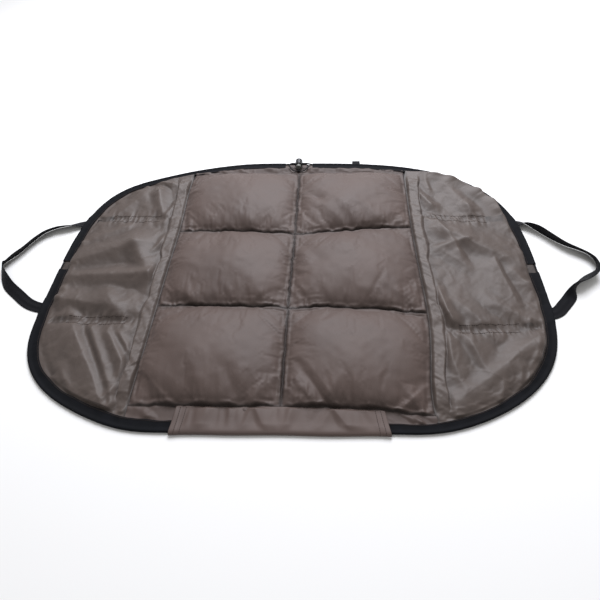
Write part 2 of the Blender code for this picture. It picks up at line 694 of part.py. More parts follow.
def make_handle_end(name, y, joint, side):
    """The sewn end of a handle, in the notch of the wing's sheet and under the binding."""
    low = (HANDLE_HINGE_X - HANDLE_SEWN_LENGTH, y - WEB_WIDTH / 2, 0.0)
    high = (HANDLE_HINGE_X - GAP, y + WEB_WIDTH / 2, WEB_THICK)
    box(name, low, high, "webbing", joint, side)


def make_handle(name, joint, side):
    """The free loop of webbing: flat where it leaves the wing, twisting up on edge round the outer bend."""
    span = HANDLE_FRONT_Y - HANDLE_BACK_Y
    first_x = HANDLE_HINGE_X + GAP
    corners = np.array(HANDLE_ROUTE_SHARES) * (HANDLE_REACH, span) + (first_x, HANDLE_BACK_Y)
    dense = smooth_route(corners, HANDLE_STEPS)
    walked = np.concatenate([[0.0], np.cumsum(np.linalg.norm(np.diff(dense, axis=0), axis=1))])
    share = np.linspace(0.0, 1.0, HANDLE_STEPS + 1)
    plan = np.column_stack([np.interp(share * walked[-1], walked, dense[:, axis]) for axis in (0, 1)])
    tangent = np.gradient(plan, axis=0)
    tangent /= np.linalg.norm(tangent, axis=1)[:, None]
    tangent[0], tangent[-1] = (1.0, 0.0), (-1.0, 0.0)
    up_start, up_end, down_start, down_end = HANDLE_TWIST_SHARES
    rise = smooth_step((share - up_start) / (up_end - up_start))
    fall = smooth_step((share - down_start) / (down_end - down_start))
    roll = (rise - fall) * math.pi / 2
    aside = np.column_stack([-tangent[:, 1], tangent[:, 0], np.zeros(len(plan))])
    upright = np.array([0.0, 0.0, 1.0])
    wide = aside * np.cos(roll)[:, None] + upright * np.sin(roll)[:, None]
    deep = upright * np.cos(roll)[:, None] - aside * np.sin(roll)[:, None]
    level = np.sin(roll) * WEB_WIDTH / 2 + np.cos(roll) * WEB_THICK / 2
    middle = np.column_stack([plan, level])
    rings = []
    for wide_sign, deep_sign in ((-1, -1), (1, -1), (1, 1), (-1, 1)):
        rings.append(middle + wide * wide_sign * WEB_WIDTH / 2 + deep * deep_sign * WEB_THICK / 2)
    loft(name, np.stack(rings, axis=1), "webbing", joint, side)


def flap_section(fold):
    """The flap's outer face from its seam to its lip, as (y, z), and then its inner face back to the seam."""
    lip_out = -MAT_FRONT - FLAP_LIP_CLEAR - CLOTH_THICK
    over_bead = BEAD_TOP + FLAP_LIP_CLEAR + CLOTH_THICK
    back = -PANEL_END - GAP
    reach = -MAT_FRONT + BEAD_RADIUS - back
    outer = []
    for share in np.linspace(0.0, 1.0, FLAP_STEPS_ALONG + 1):
        height = FLAP_BACK_TOP + share * (over_bead - FLAP_BACK_TOP)
        outer.append((back + share * reach, height + fold * math.sin(math.pi * share)))
    inner = [(y, z - CLOTH_THICK) for y, z in outer]
    outer += [(lip_out + CLOTH_THICK, over_bead - CLOTH_THICK)]
    outer += [(lip_out, over_bead - BEAD_RADIUS), (lip_out, CLOTH_THICK)]
    inner += [(lip_out + 2 * CLOTH_THICK, over_bead - 2 * CLOTH_THICK)]
    inner += [(lip_out + CLOTH_THICK, over_bead - BEAD_RADIUS), (lip_out + CLOTH_THICK, CLOTH_THICK)]
    return outer + inner[::-1]


def make_flap(joint):
    """The flap, from the front seam over the binding and down in front of it."""
    rings = []
    for share in np.linspace(-1.0, 1.0, FLAP_STEPS + 1):
        aside = [(share - place) / FLAP_FOLD_WIDTH_SHARE for place, size in FLAP_FOLD_SHARES]
        swells = [size * math.exp(-(away**2)) for away, (place, size) in zip(aside, FLAP_FOLD_SHARES)]
        fold = FLAP_SWELL * max(swells) * math.sin(math.pi * (share + 1) / 2) ** 0.3
        rings.append([(share * FLAP_HALF_WIDTH, y, z) for y, z in flap_section(fold)])
    loft("flap", rings, "nylon_wing", joint, 1)


def cylinder_along_y(radius, start, end, middle_z):
    """A bmesh cylinder on the lock's axis, from one y to another."""
    mesh_data = bmesh.new()
    turned = Matrix.Translation((0.0, (start + end) / 2, middle_z))
    turned = turned @ Matrix.Rotation(math.radians(90), 4, "X")
    sizes = {"radius1": radius, "radius2": radius, "depth": end - start}
    bmesh.ops.create_cone(mesh_data, cap_ends=True, segments=ROUND_SEGMENTS, matrix=turned, **sizes)
    return mesh_data


def hide_cutter(cutter, target):
    """Marks an object as a cutter and cuts it out of its target."""
    cutter.hide_render = True
    cutter.display_type = "WIRE"
    cut = target.modifiers.new("cut_" + cutter.name, "BOOLEAN")
    cut.operation = "DIFFERENCE"
    cut.solver = "EXACT"
    cut.object = cutter


def add_bevel(piece, width):
    bevel = piece.modifiers.new("rounded_edges", "BEVEL")
    bevel.width = width
    bevel.segments = 2
    bevel.limit_method = "ANGLE"
    bevel.angle_limit = math.radians(40)


def cord_slot(name, low_y, high_y, reach, joint):
    """Cutter for the hole that both cords pass through, one above the other."""
    half_height = (CORD_PITCH + 2 * CORD_RADIUS) / 2 + CORD_HOLE_CLEAR
    low = (-reach, low_y, LOCK_Z - half_height)
    return box(name, low, (reach, high_y, LOCK_Z + half_height), "black_plastic", joint, 1)


def make_lock(lock_joint, button_joint):
    """Barrel cord lock: body with a bore and a cross hole, sprung button with the matching slot."""
    half_hole = CORD_RADIUS + CORD_HOLE_CLEAR
    body_mesh = cylinder_along_y(LOCK_RADIUS, LOCK_FRONT, LOCK_FRONT + LOCK_LENGTH, LOCK_Z)
    body = finish_mesh("lock_body", body_mesh, "black_plastic", lock_joint)
    add_bevel(body, LOCK_EDGE_ROUND)
    bore_end = LOCK_FRONT + LOCK_LENGTH - LOCK_WALL
    bore_mesh = cylinder_along_y(BUTTON_RADIUS + BORE_CLEAR, LOCK_FRONT - CUT_OVERRUN, bore_end, LOCK_Z)
    hide_cutter(finish_mesh("bore_cutter", bore_mesh, "black_plastic", lock_joint), body)
    slot_reach = LOCK_RADIUS + CUT_OVERRUN
    slot_start, slot_end = CORD_HOLE_Y - half_hole, CORD_HOLE_Y + half_hole
    body_slot = cord_slot("body_slot_cutter", slot_start, slot_end, slot_reach, lock_joint)
    hide_cutter(body_slot, body)

    button_end = CORD_HOLE_Y + half_hole + BUTTON_TAIL
    button_mesh = cylinder_along_y(BUTTON_RADIUS, LOCK_FRONT - BUTTON_OUT, button_end, LOCK_Z)
    button = finish_mesh("lock_button", button_mesh, "grey_plastic", button_joint)
    add_bevel(button, LOCK_EDGE_ROUND)
    low_y = CORD_HOLE_Y - half_hole - BUTTON_TRAVEL
    button_slot = cord_slot("button_slot_cutter", low_y, CORD_HOLE_Y + half_hole, slot_reach, button_joint)
    hide_cutter(button_slot, button)

    spring_start = button_end + GAP + SPRING_WIRE_RADIUS
    spring_length = bore_end - GAP - SPRING_WIRE_RADIUS - spring_start
    share = np.linspace(0.0, 1.0, SPRING_TURNS * SPRING_POINTS_A_TURN + 1)
    turn = 2 * np.pi * SPRING_TURNS * share
    around = [SPRING_RADIUS * np.cos(turn), LOCK_Z + SPRING_RADIUS * np.sin(turn)]
    coil = [around[0], spring_start + spring_length * share, around[1]]
    tube("lock_spring", np.column_stack(coil), SPRING_WIRE_RADIUS, "spring_steel", lock_joint)
    print("least gap between spring turns:", spring_length / SPRING_TURNS - 2 * SPRING_WIRE_RADIUS)


def make_knot(joint):
    """The knot that ties the two tails together, as its outer form."""
    mesh_data = bmesh.new()
    middle = Matrix.Translation((0.0, PANEL_END + KNOT_FROM_PANEL, KNOT_Z))
    size = Matrix.Diagonal((KNOT_HALF_X, KNOT_HALF_Y, KNOT_HALF_Z, 1.0))
    counts = {"u_segments": KNOT_SEGMENTS, "v_segments": KNOT_RINGS}
    bmesh.ops.create_uvsphere(mesh_data, radius=1.0, matrix=middle @ size, **counts)
    finish_mesh("drawcord_knot", mesh_data, "cord", joint)


def make_back_loop(joint):
    """A short length of webbing folded over into a flat loop, sewn against the back edge."""
    sides = (LOOP_X - LOOP_WIDTH / 2, LOOP_X + LOOP_WIDTH / 2)
    starts = [RIM.at([RIM.cut(("back", x), 0.0)], 0.0)[0, 1] + GAP for x in sides]
    outer_radius = LOOP_THICK + LOOP_OPENING / 2
    inner_radius = LOOP_OPENING / 2
    middle_z = outer_radius + GAP
    fold_y = max(starts) + LOOP_REACH - outer_radius
    turn = np.radians(np.linspace(-90, 90, LOOP_FOLD_STEPS + 1))
    outer = [(fold_y + outer_radius * math.cos(a), middle_z + outer_radius * math.sin(a)) for a in turn]
    inner = [(fold_y + inner_radius * math.cos(a), middle_z + inner_radius * math.sin(a)) for a in turn]
    rings = []
    for x, start in zip(sides, starts):
        ring = [(start, middle_z - outer_radius)] + outer + [(start, middle_z + outer_radius)]
        ring += [(start, middle_z + inner_radius)] + inner[::-1] + [(start, middle_z - inner_radius)]
        rings.append([(x, y, z) for y, z in ring])
    loft("back_loop", rings, "webbing", joint, 1)


def make_middle(joint, flap_joint):
    """What reaches across the panel from side to side."""
    make_middle_sheet(joint)
    loft("binding_front", both_sides(binding_rings(CENTRE_FRONT, HALF_FRONT)), "binding_tape", joint, 1)
    front_cord = trimmed(both_sides(cord_line(CENTRE_FRONT, HALF_FRONT)), CORD_RADIUS, CORD_RADIUS)
    tube("drawcord_front", front_cord, CORD_RADIUS, "cord", joint)
    make_flap(flap_joint)


def make_column(label, joint, side):
    """One column of pillows with the pleat beside it and the binding behind it."""
    make_cover("cover_" + label, joint, side)
    for row, place in enumerate(("front", "middle", "back")):
        make_pad(f"pad_{place}_{label}", row, joint, side)
    make_pleat("pleat_" + label, joint, side)
    loft("binding_back_" + label, binding_rings(HALF_BACK, LOCK_OPENING), "binding_tape", joint, side)


def make_wing(label, wing_joint, handle_joint, side):
    """One wing with its elastics and binding, and its handle."""
    make_wing_sheet("wing_sheet_" + label, wing_joint, side)
    make_wing_cover("wing_cover_" + label, wing_joint, side)
    for place, cuts in (("front", (WING_FRONT, OPENING_FRONT)), ("back", (OPENING_BACK, WING_BACK))):
        loft(f"binding_wing_{place}_{label}", binding_rings(*cuts), "binding_tape", wing_joint, side)
    cord = trimmed(cord_line(WING_FRONT, WING_BACK), CORD_RADIUS, CORD_RADIUS)
    tube("drawcord_wing_" + label, cord, CORD_RADIUS, "cord", wing_joint, side)
    back_end = HANDLE_HINGE_X - HANDLE_SEWN_LENGTH - GAP
    make_elastic("elastic_back_" + label, CHANNEL_Y, back_end, wing_joint, side)
    make_elastic("elastic_front_" + label, -CHANNEL_Y, MAT_HALF_WIDTH - ELASTIC_END_INSET, wing_joint, side)
    make_handle_end("handle_end_back_" + label, HANDLE_BACK_Y, wing_joint, side)
    make_handle_end("handle_end_front_" + label, HANDLE_FRONT_Y, wing_joint, side)
    make_handle("handle_" + label, handle_joint, side)


def tail_route(start, side, level):
    """A cord's way from the binding's mouth through the lock's cross hole, round the button and to the knot.

    It comes in from the side opposite to the given one, and leaves the lock on that side.
    """
    straight = LOCK_RADIUS + LOCK_TRAVEL + CORD_RADIUS
    knot_end = KNOT_HALF_X + GAP
    hole = np.array([straight, CORD_HOLE_Y, level])
    knot = np.array([knot_end, PANEL_END + KNOT_FROM_PANEL, KNOT_Z])
    start = np.asarray(start) * (-side, 1, 1)
    route = [start]
    for shares in CORD_IN_SHARES:
        route.append(start + np.array(shares) * (hole - start))
    route.append(hole)
    route = [point * (-1, 1, 1) for point in route]
    route.append(hole)
    for out, down_y, level_share in CORD_OUT_SHARES:
        x = knot_end + out * (straight + 3 * CORD_RADIUS - knot_end)
        route.append((x, hole[1] + down_y * (knot[1] - hole[1]), knot[2] + level_share * (level - knot[2])))
    route.append(knot)
    return mirrored(smooth_route(route, CORD_BEND_STEPS), side)


def make_back_cords(joint):
    """The drawcord inside the back binding, and its two ends through the lock to the knot."""
    inside = trimmed(cord_line(HALF_BACK, LOCK_OPENING), CORD_RADIUS, 0.0)
    tube("drawcord_back_right", np.vstack([inside[:-1], tail_route(inside[-1], -1, LOCK_Z + CORD_PITCH / 2)]),
         CORD_RADIUS, "cord", joint)
    inside = mirrored(inside, -1)
    tube("drawcord_back_left", np.vstack([inside[:-1], tail_route(inside[-1], 1, LOCK_Z - CORD_PITCH / 2)]),
         CORD_RADIUS, "cord", joint)
    make_knot(joint)


def build():
    clear_scene()
    panel = add_joint("panel", (0.0, 0.0, 0.0))
    flap = add_joint("flap_fold", (0.0, -PANEL_END, FLAP_HINGE_Z), panel)
    make_middle(panel, flap)
    for label, side in (("left", -1), ("right", 1)):
        wing = add_joint("wing_fold_" + label, (side * WING_HINGE_X, 0.0, WING_HINGE_Z), panel)
        handle = add_joint("handle_fold_" + label, (side * HANDLE_HINGE_X, 0.0, HANDLE_HINGE_Z), wing)
        make_column(label, panel, side)
        make_wing(label, wing, handle, side)
    lock = add_joint("lock_slide", (0.0, LOCK_Y, LOCK_Z), panel)
    button = add_joint("button_slide", (0.0, LOCK_FRONT, LOCK_Z), lock)
    make_back_cords(panel)
    make_lock(lock, button)
    make_back_loop(panel)


build()
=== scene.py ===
"""Looks of an unhooking mat: quilted satin nylon panel, loose wings, taped edge, drawcord with its lock, two handles.

Metres, +Z up, +Y to the back edge. Each right-hand piece is a grid of points worked out as whole arrays, and the
left-hand one is made the same way on the other side, with its own folds.
"""

import json
import math

import bmesh
import bpy
import numpy as np
from bpy.props import FloatProperty, PointerProperty, StringProperty
from mathutils import Matrix, Vector


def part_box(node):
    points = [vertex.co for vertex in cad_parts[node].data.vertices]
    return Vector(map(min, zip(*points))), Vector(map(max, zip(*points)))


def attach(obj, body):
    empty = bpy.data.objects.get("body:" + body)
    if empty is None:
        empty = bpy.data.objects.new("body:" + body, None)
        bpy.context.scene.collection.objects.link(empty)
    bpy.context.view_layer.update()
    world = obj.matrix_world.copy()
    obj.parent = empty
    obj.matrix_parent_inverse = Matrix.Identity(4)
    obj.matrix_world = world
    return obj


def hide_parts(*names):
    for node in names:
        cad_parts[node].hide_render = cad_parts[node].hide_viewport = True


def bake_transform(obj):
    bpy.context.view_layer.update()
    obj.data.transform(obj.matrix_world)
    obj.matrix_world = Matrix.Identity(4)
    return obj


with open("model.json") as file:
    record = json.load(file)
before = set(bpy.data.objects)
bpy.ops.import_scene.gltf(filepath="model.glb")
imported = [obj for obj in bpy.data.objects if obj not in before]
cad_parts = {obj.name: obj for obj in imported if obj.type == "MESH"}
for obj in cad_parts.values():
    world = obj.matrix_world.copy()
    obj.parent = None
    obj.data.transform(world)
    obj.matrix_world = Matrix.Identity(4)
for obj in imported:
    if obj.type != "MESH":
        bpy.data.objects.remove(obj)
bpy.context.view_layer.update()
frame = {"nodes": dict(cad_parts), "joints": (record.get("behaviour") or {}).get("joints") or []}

bl_info = {
    "name": "Unhooking mat",
    "version": (1, 0, 0),
    "blender": (4, 5, 0),
    "location": "3D View > Sidebar > Mat",
    "description": "Builds the cloth, tape, cord and webbing of an unhooking mat round its packed frame",
    "category": "Object",
}

MM = 0.001

# Places that the frame gives
JOINT_PLACES = {joint["name"]: joint.get("pos_m") for joint in frame["joints"]}
WING_HINGE_X, _, WING_HINGE_Z = JOINT_PLACES["wing_fold_right"]
PANEL_END = -JOINT_PLACES["flap_fold"][1]
COLUMN_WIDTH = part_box("cover_right")[1].x
ROW_COUNT = 3
ROW_DEPTH = 2 * PANEL_END / ROW_COUNT
MAT_HALF_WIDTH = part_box("binding_wing_front_right")[1].x
MAT_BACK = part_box("binding_back_right")[1].y
MAT_FRONT = -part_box("binding_front")[0].y
FLAP_HALF_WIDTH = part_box("flap")[1].x
FLAP_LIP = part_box("flap")[0].y
LOCK_MIDDLE = (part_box("lock_body")[0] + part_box("lock_body")[1]) / 2
KNOT_LOW, KNOT_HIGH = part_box("drawcord_knot")
CHANNEL_Y = (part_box("elastic_back_right")[0].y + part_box("elastic_back_right")[1].y) / 2
CHANNEL_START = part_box("elastic_back_right")[0].x
CHANNEL_ENDS = {"back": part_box("elastic_back_right")[1].x, "front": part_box("elastic_front_right")[1].x}

# Outline of the mat: squareness of its superellipse, and how finely it is worked out
BACK_SQUARENESS = 3.0
FRONT_SQUARENESS = 3.5
OUTLINE_POINTS = 4000

# Layers of cloth and tape
SHEET_TOP = 1.0 * MM
COVER_TOP = 2.0 * MM
WING_TOP = 2.5 * MM
CLOTH_THICK = 0.6 * MM
TAPE_THICK = 0.7 * MM
TAPE_WIDTH = 20.5 * MM
TAPE_LOWER_WIDTH = 6.5 * MM
BEAD_RADIUS = 3.0 * MM
BEAD_INNER_RADIUS = 2.3 * MM
CORD_RADIUS = 1.6 * MM
CLOTH_EDGE_INSET = 6.8 * MM
CLOTH_REACH = 2.3 * MM
SHEET_REACH = 5.8 * MM
SIDE_OPENING = 24.0 * MM
BACK_OPENING = 72.0 * MM
WEB_WIDTH = 25.0 * MM
WEB_THICK = 1.5 * MM
HANDLE_LIFT = 1.8 * MM
HANDLE_BACK_Y = 0.138
HANDLE_FRONT_Y = -0.118
FOLD_START_X = WING_HINGE_X - 15.0 * MM

# How the mat really lay: a place in plan and its shift there, all in millimetres
LAID_SHIFTS = (
    (0, 110, 3, -7), (275, 110, -1, 13), (275, -110, 5, -9), (0, -330, 0, 6), (275, -330, -8, -2),
    (-275, 330, -1, -8), (0, 325, 2, -3), (-275, 110, 0, 0), (-275, -110, 0, 0), (-275, -330, 0, 0), (275, 330, 0, 0),
    (0, -110, 0, 0), (0, 362, 0, 0), (150, 372, 0, 0), (-150, 372, 0, 0), (400, 0, 0, 0), (-400, 0, 0, 0),
    (0, -382, 0, 6), (400, 250, 0, 0), (-400, 250, 0, 0), (400, -250, 0, 0), (-400, -250, 0, 0), (525, 0, 0, 0),
    (-525, 0, 0, 0), (200, -382, 0, 9), (-200, -382, 0, -1), (100, -382, 0, 7), (-100, -382, 0, 3), (324, -360, 0, 8),
    (398, -334, -3, 13), (460, -288, -8, 9), (-315, 350, 4, -12), (-384, 322, 6, -10), (-247, 366, 2, -8),
    (515, 138, 0, 0), (515, -118, 0, 0), (-515, 138, 0, 0), (-515, -118, 0, 0), (-490, -235, -7, 0),
    (-252, -373, 0, -5),
)
LAID_REACH = 110.0 * MM


class MatSizes(bpy.types.PropertyGroup):
    """Sizes and forces of the mat's cloth."""

    pillow_excess: FloatProperty(
        name="Pillow cloth", description="How much longer the cover is than the panel under it", default=0.055)
    pillow_pressure: FloatProperty(
        name="Filling pressure", description="How hard the wadding pushes the cover up", default=4.0)
    wing_excess: FloatProperty(
        name="Wing cloth", description="How much longer a wing's cloth is than its sheet", default=0.035)
    channel_excess: FloatProperty(
        name="Channel gather", description="How much longer a wing's cloth is along its elastic channels", default=0.12)
    pleat_height: FloatProperty(
        name="Pleat height", description="Height of the roll of cloth beside the panel", default=0.011, unit="LENGTH")
    stitch_length: FloatProperty(
        name="Stitch length", description="Length of one stitch with its gap", default=0.0036, unit="LENGTH")
    handle_width: FloatProperty(
        name="Webbing width", description="Width of the handles' webbing", default=WEB_WIDTH, unit="LENGTH")


class MatColours(bpy.types.PropertyGroup):
    """Colours of the mat's materials, as sRGB hex values."""

    panel_nylon: StringProperty(name="Panel nylon", description="Brown of the quilted cover", default="#53443e")
    wing_nylon: StringProperty(name="Wing nylon", description="Brown of the wings' loose cloth", default="#50453f")
    ground_nylon: StringProperty(name="Ground sheet", description="Brown of the coated underside", default="#3d3532")
    tape: StringProperty(name="Binding tape", description="Blue-black of the edge's tape", default="#0d0e12")
    webbing: StringProperty(name="Webbing", description="Black of the handles", default="#0e0e11")
    cord: StringProperty(name="Drawcord", description="Black of the drawcord", default="#0f0f11")
    thread: StringProperty(name="Thread", description="Brown of the seams' thread", default="#382e2a")
    button: StringProperty(name="Lock button", description="Grey of the lock's button", default="#64645f")
    floor: StringProperty(name="Floor", description="Plain floor under the mat", default="#f2f1ef")


def sizes():
    return bpy.context.scene.mat_sizes


def colours():
    return bpy.context.scene.mat_colours


def linear(code):
    """An sRGB hex value as linear red, green, blue and alpha."""
    parts = np.array([int(code[place : place + 2], 16) for place in (1, 3, 5)]) / 255
    low, high = parts / 12.92, ((parts + 0.055) / 1.055) ** 2.4
    return (*np.where(parts <= 0.04045, low, high), 1.0)


def smooth_step(value):
    """0 below 0, 1 above 1, with an even rise between."""
    value = np.clip(value, 0.0, 1.0)
    return value * value * (3 - 2 * value)


def read_grid(field, down, across):
    """A grid's value at places between its points, by Catmull-Rom curves both ways."""
    rows, columns = field.shape[:2]
    total = 0.0
    for offset_down, weight_down in curve_weights(down):
        row = np.clip(np.floor(down).astype(int) + offset_down, 0, rows - 1)
        for offset_across, weight_across in curve_weights(across):
            column = np.clip(np.floor(across).astype(int) + offset_across, 0, columns - 1)
            weight = weight_down * weight_across
            value = field[row, column]
            total = total + value * (weight[..., None] if value.ndim > weight.ndim else weight)
    return total


def curve_weights(place):
    """Weights of the four grid points round a place, for a Catmull-Rom curve."""
    share = place - np.floor(place)
    return (
        (-1, (-share + 2 * share**2 - share**3) / 2),
        (0, (2 - 5 * share**2 + 3 * share**3) / 2),
        (1, (share + 4 * share**2 - 3 * share**3) / 2),
        (2, (share**3 - share**2) / 2),
    )


def rumple(x, y, size, seed):
    """Smooth noise of about unit size over the plan: random values on a square lattice, joined by smooth curves."""
    lattice = np.random.default_rng(seed).standard_normal((128, 128))
    return read_grid(lattice, np.mod(y / size + 64, 120) + 2, np.mod(x / size + 64, 120) + 2)


def creases(x, y, size, seed):
    """Sharp ridges between soft hollows: 1 where smooth noise passes through 0, and less away from there."""
    warped = rumple(x, y, 2 * size, seed + 1) * size / 2
    return 1 - np.minimum(np.abs(rumple(x + warped, y - warped, size, seed)) * 1.6, 1.0)


def as_laid(points):
    """Points moved in plan by a smooth field through the shifts that were seen on the mat."""
    seen = np.array(LAID_SHIFTS, float) * MM
    places, shifts = seen[:, :2], seen[:, 2:]
    between = np.linalg.norm(places[:, None] - places[None], axis=-1)
    strengths = np.linalg.solve(np.exp(-((between / LAID_REACH) ** 2)), shifts)
    moved = np.array(points, float)
    away = np.hypot(moved[..., 0, None] - places[:, 0], moved[..., 1, None] - places[:, 1])
    moved[..., :2] += np.exp(-((away / LAID_REACH) ** 2)) @ strengths
    return moved


def arc_lengths(points):
    """The way walked along a path up to each of its points."""
    return np.concatenate([[0.0], np.cumsum(np.linalg.norm(np.diff(points, axis=0), axis=1))])


def uv_grid(along, around):
    """A tube's UV map in metres, from its rows' and its columns' places."""
    return np.stack(np.broadcast_arrays(along[:, None], around[None]), axis=-1)


class Rim:
    """The mat's right-hand outline by arc length, from the front middle to the back middle."""

    def __init__(self):
        angle = np.radians(np.linspace(-90, 90, OUTLINE_POINTS))
        depth = np.where(angle < 0, MAT_FRONT, MAT_BACK)
        power = np.where(angle < 0, FRONT_SQUARENESS, BACK_SQUARENESS)
        across = np.abs(np.cos(angle)) / MAT_HALF_WIDTH
        along = np.abs(np.sin(angle)) / depth
        radius = (across**power + along**power) ** (-1 / power)
        self.points = np.column_stack([radius * np.cos(angle), radius * np.sin(angle)])
        self.arc = arc_lengths(self.points)
        tangent = np.gradient(self.points, axis=0)
        tangent /= np.linalg.norm(tangent, axis=1)[:, None]
        tangent[0], tangent[-1] = (1.0, 0.0), (-1.0, 0.0)
        self.inward = np.column_stack([-tangent[:, 1], tangent[:, 0]])
        self.middle = int(np.argmax(self.points[:, 0]))

    def at(self, arc, inset):
        """The points at arc lengths, each moved in from the edge by its inset."""
        place = [np.interp(arc, self.arc, self.points[:, axis]) for axis in (0, 1)]
        inward = [np.interp(arc, self.arc, self.inward[:, axis]) for axis in (0, 1)]
        return np.stack([place[0] + inward[0] * inset, place[1] + inward[1] * inset], axis=-1)

    def end_y(self, part, x, inset):
        """Where the inset outline's front or back is at x."""
        curve = self.points + self.inward * inset
        if part == "front":
            return np.interp(x, curve[: self.middle, 0], curve[: self.middle, 1])
        return np.interp(-np.asarray(x), -curve[self.middle :, 0], curve[self.middle :, 1])

    def cut(self, part, value, inset=0.0):
        """Arc length where the inset outline meets a plane: front or back with an x, side with a y."""
        curve = self.points + self.inward * inset
        y = value if part == "side" else self.end_y(part, value, inset)
        return float(np.interp(y, curve[:, 1], self.arc))


RIM = Rim()


def grid_faces(rows, columns, wrap=False):
    """Quads of a grid of points, row by row. Wrap joins the last column to the first."""
    row = np.arange(rows - 1)[:, None]
    column = np.arange(columns if wrap else columns - 1)[None, :]
    after = (column + 1) % columns
    corners = [row * columns + column, row * columns + after, (row + 1) * columns + after, (row + 1) * columns + column]
    return np.stack(corners, axis=-1).reshape(-1, 4)


def make_piece(name, points, uv, material, wrap=False, caps=False, flip=False):
    """An object from a grid of points, with its UV map in metres, at its place in the mesh.

    A wrapped grid is a tube along its rows, and its UV grid has one column more. Caps close the tube's two ends.
    """
    rows, columns = points.shape[:2]
    faces = grid_faces(rows, columns, wrap)
    corners = grid_faces(rows, columns + 1) if wrap else faces
    if flip:
        faces, corners = faces[:, ::-1], corners[:, ::-1]
    polygons, places = faces.tolist(), corners.ravel().tolist()
    if caps:
        first, last = np.arange(columns), (rows - 1) * columns + np.arange(columns)
        ends = [first[::-1], last] if not flip else [first, last[::-1]]
        polygons += [end.tolist() for end in ends]
        for end in ends:
            places += (end + end // columns).tolist()
    mesh = bpy.data.meshes.new(name)
    mesh.from_pydata(points.reshape(-1, 3).tolist(), [], polygons)
    layer = mesh.uv_layers.new(name="UVMap")
    layer.data.foreach_set("uv", uv.reshape(-1, 2)[places].astype(np.float32).ravel())
    mesh.shade_smooth()
    mesh.materials.append(material)
    piece = bpy.data.objects.new(name, mesh)
    bpy.context.scene.collection.objects.link(piece)
    return piece


def add_painted_shade(piece, values):
    """Keeps on each vertex how much painted shade the material puts there: in seams, hollows and other shaded places.
    """
    layer = piece.data.attributes.new("painted_shade", "FLOAT", "POINT")
    layer.data.foreach_set("value", values.astype(np.float32).ravel())


def opened(place, width):
    """1 inside an opening of the binding, and 0 outside it."""
    return smooth_step((width / 2 + 1 * MM - np.abs(place)) / (2 * MM))


def thicken(piece, thickness):
    """Gives an open surface its cloth thickness, downwards from the face that shows."""
    wall = piece.modifiers.new("cloth_thickness", "SOLIDIFY")
    wall.thickness = thickness
    wall.offset = -1.0


def mirrored(points, side):
    """The right-hand points, or their mirror image across x = 0."""
    return points * np.array([side, 1.0, 1.0])


def side_name(side):
    return "right" if side > 0 else "left"


# In how many steps the cloth's extra length is set on its points
GROWTH_LEVELS = 10


def settled_cloth(points, pinned, pressure, excess, frames, start, stiffness=15.0, bending=0.1, excess_field=None):
    """Runs a grid as cloth that is longer than its frame, held where it is pinned, and gives its resting points.

    The cloth begins at the start heights and is made longer by the excess, and where the excess field is 1 by the
    channels' excess.
    """
    scene = bpy.context.scene
    begin = points + np.stack([np.zeros_like(start), np.zeros_like(start), start], axis=-1)
    mesh = bpy.data.meshes.new("cloth_run")
    mesh.from_pydata(begin.reshape(-1, 3).tolist(), [], grid_faces(*points.shape[:2]).tolist())
    cloth = bpy.data.objects.new("cloth_run", mesh)
    scene.collection.objects.link(cloth)
    held = cloth.vertex_groups.new(name="sewn")
    held.add(np.flatnonzero(pinned.ravel()).tolist(), 1.0, "REPLACE")
    run = cloth.modifiers.new("cloth", "CLOTH")
    chosen = {
        "vertex_group_mass": "sewn", "quality": 6, "mass": 0.12, "air_damping": 3.0, "tension_stiffness": stiffness,
        "compression_stiffness": stiffness, "shear_stiffness": stiffness / 3, "bending_stiffness": bending,
        "use_pressure": True, "uniform_pressure_force": pressure, "shrink_min": -excess,
    }
    for name, value in chosen.items():
        setattr(run.settings, name, value)
    run.settings.effector_weights.gravity = 0.0
    if excess_field is not None:
        grown = cloth.vertex_groups.new(name="grown")
        levels = np.round(np.clip(excess_field.ravel(), 0.0, 1.0) * GROWTH_LEVELS).astype(int)
        for level in range(1, GROWTH_LEVELS + 1):
            grown.add(np.flatnonzero(levels == level).tolist(), level / GROWTH_LEVELS, "REPLACE")
        run.settings.vertex_group_shrink = "grown"
        run.settings.shrink_max = -sizes().channel_excess
    run.collision_settings.use_collision = False
    for number in range(1, frames + 1):
        scene.frame_set(number)
    evaluated = cloth.evaluated_get(bpy.context.evaluated_depsgraph_get())
    moved = np.empty(points.size, np.float32)
    evaluated.to_mesh().vertices.foreach_get("co", moved)
    evaluated.to_mesh_clear()
    bpy.data.objects.remove(cloth)
    scene.frame_set(1)
    return moved.reshape(points.shape).astype(float)


def add_node(tree, kind, inputs=None, **settings):
    """Adds a shader node with its settings. Its inputs are values, or the sockets that feed them."""
    node = tree.nodes.new(kind)
    for name, value in settings.items():
        setattr(node, name, value)
    for name, value in (inputs or {}).items():
        socket = node.inputs[name]
        if isinstance(value, bpy.types.NodeSocket):
            tree.links.new(value, socket)
        else:
            socket.default_value = value
    return node


def new_material(name, **shader_values):
    """A material with its Principled shader set to the given constants. Gives the material, its tree and its shader."""
    made = bpy.data.materials.new(name)
    made.use_nodes = True
    tree = made.node_tree
    shader = tree.nodes["Principled BSDF"]
    for socket, value in shader_values.items():
        shader.inputs[socket.replace("_", " ")].default_value = value
    return made, tree, shader


def ramp(tree, factor, stops):
    """A colour ramp through hex colours, each at its place."""
    node = add_node(tree, "ShaderNodeValToRGB", {"Fac": factor})
    while len(node.color_ramp.elements) < len(stops):
        node.color_ramp.elements.new(0.5)
    for element, (place, code) in zip(node.color_ramp.elements, stops):
        element.position = place
        element.color = linear(code)
    return node.outputs["Color"]


def shaded(code, factor):
    """A hex colour made lighter or darker by a factor on its sRGB values."""
    parts = [min(255, round(int(code[place : place + 2], 16) * factor)) for place in (1, 3, 5)]
    return "#" + "".join(f"{part:02x}" for part in parts)


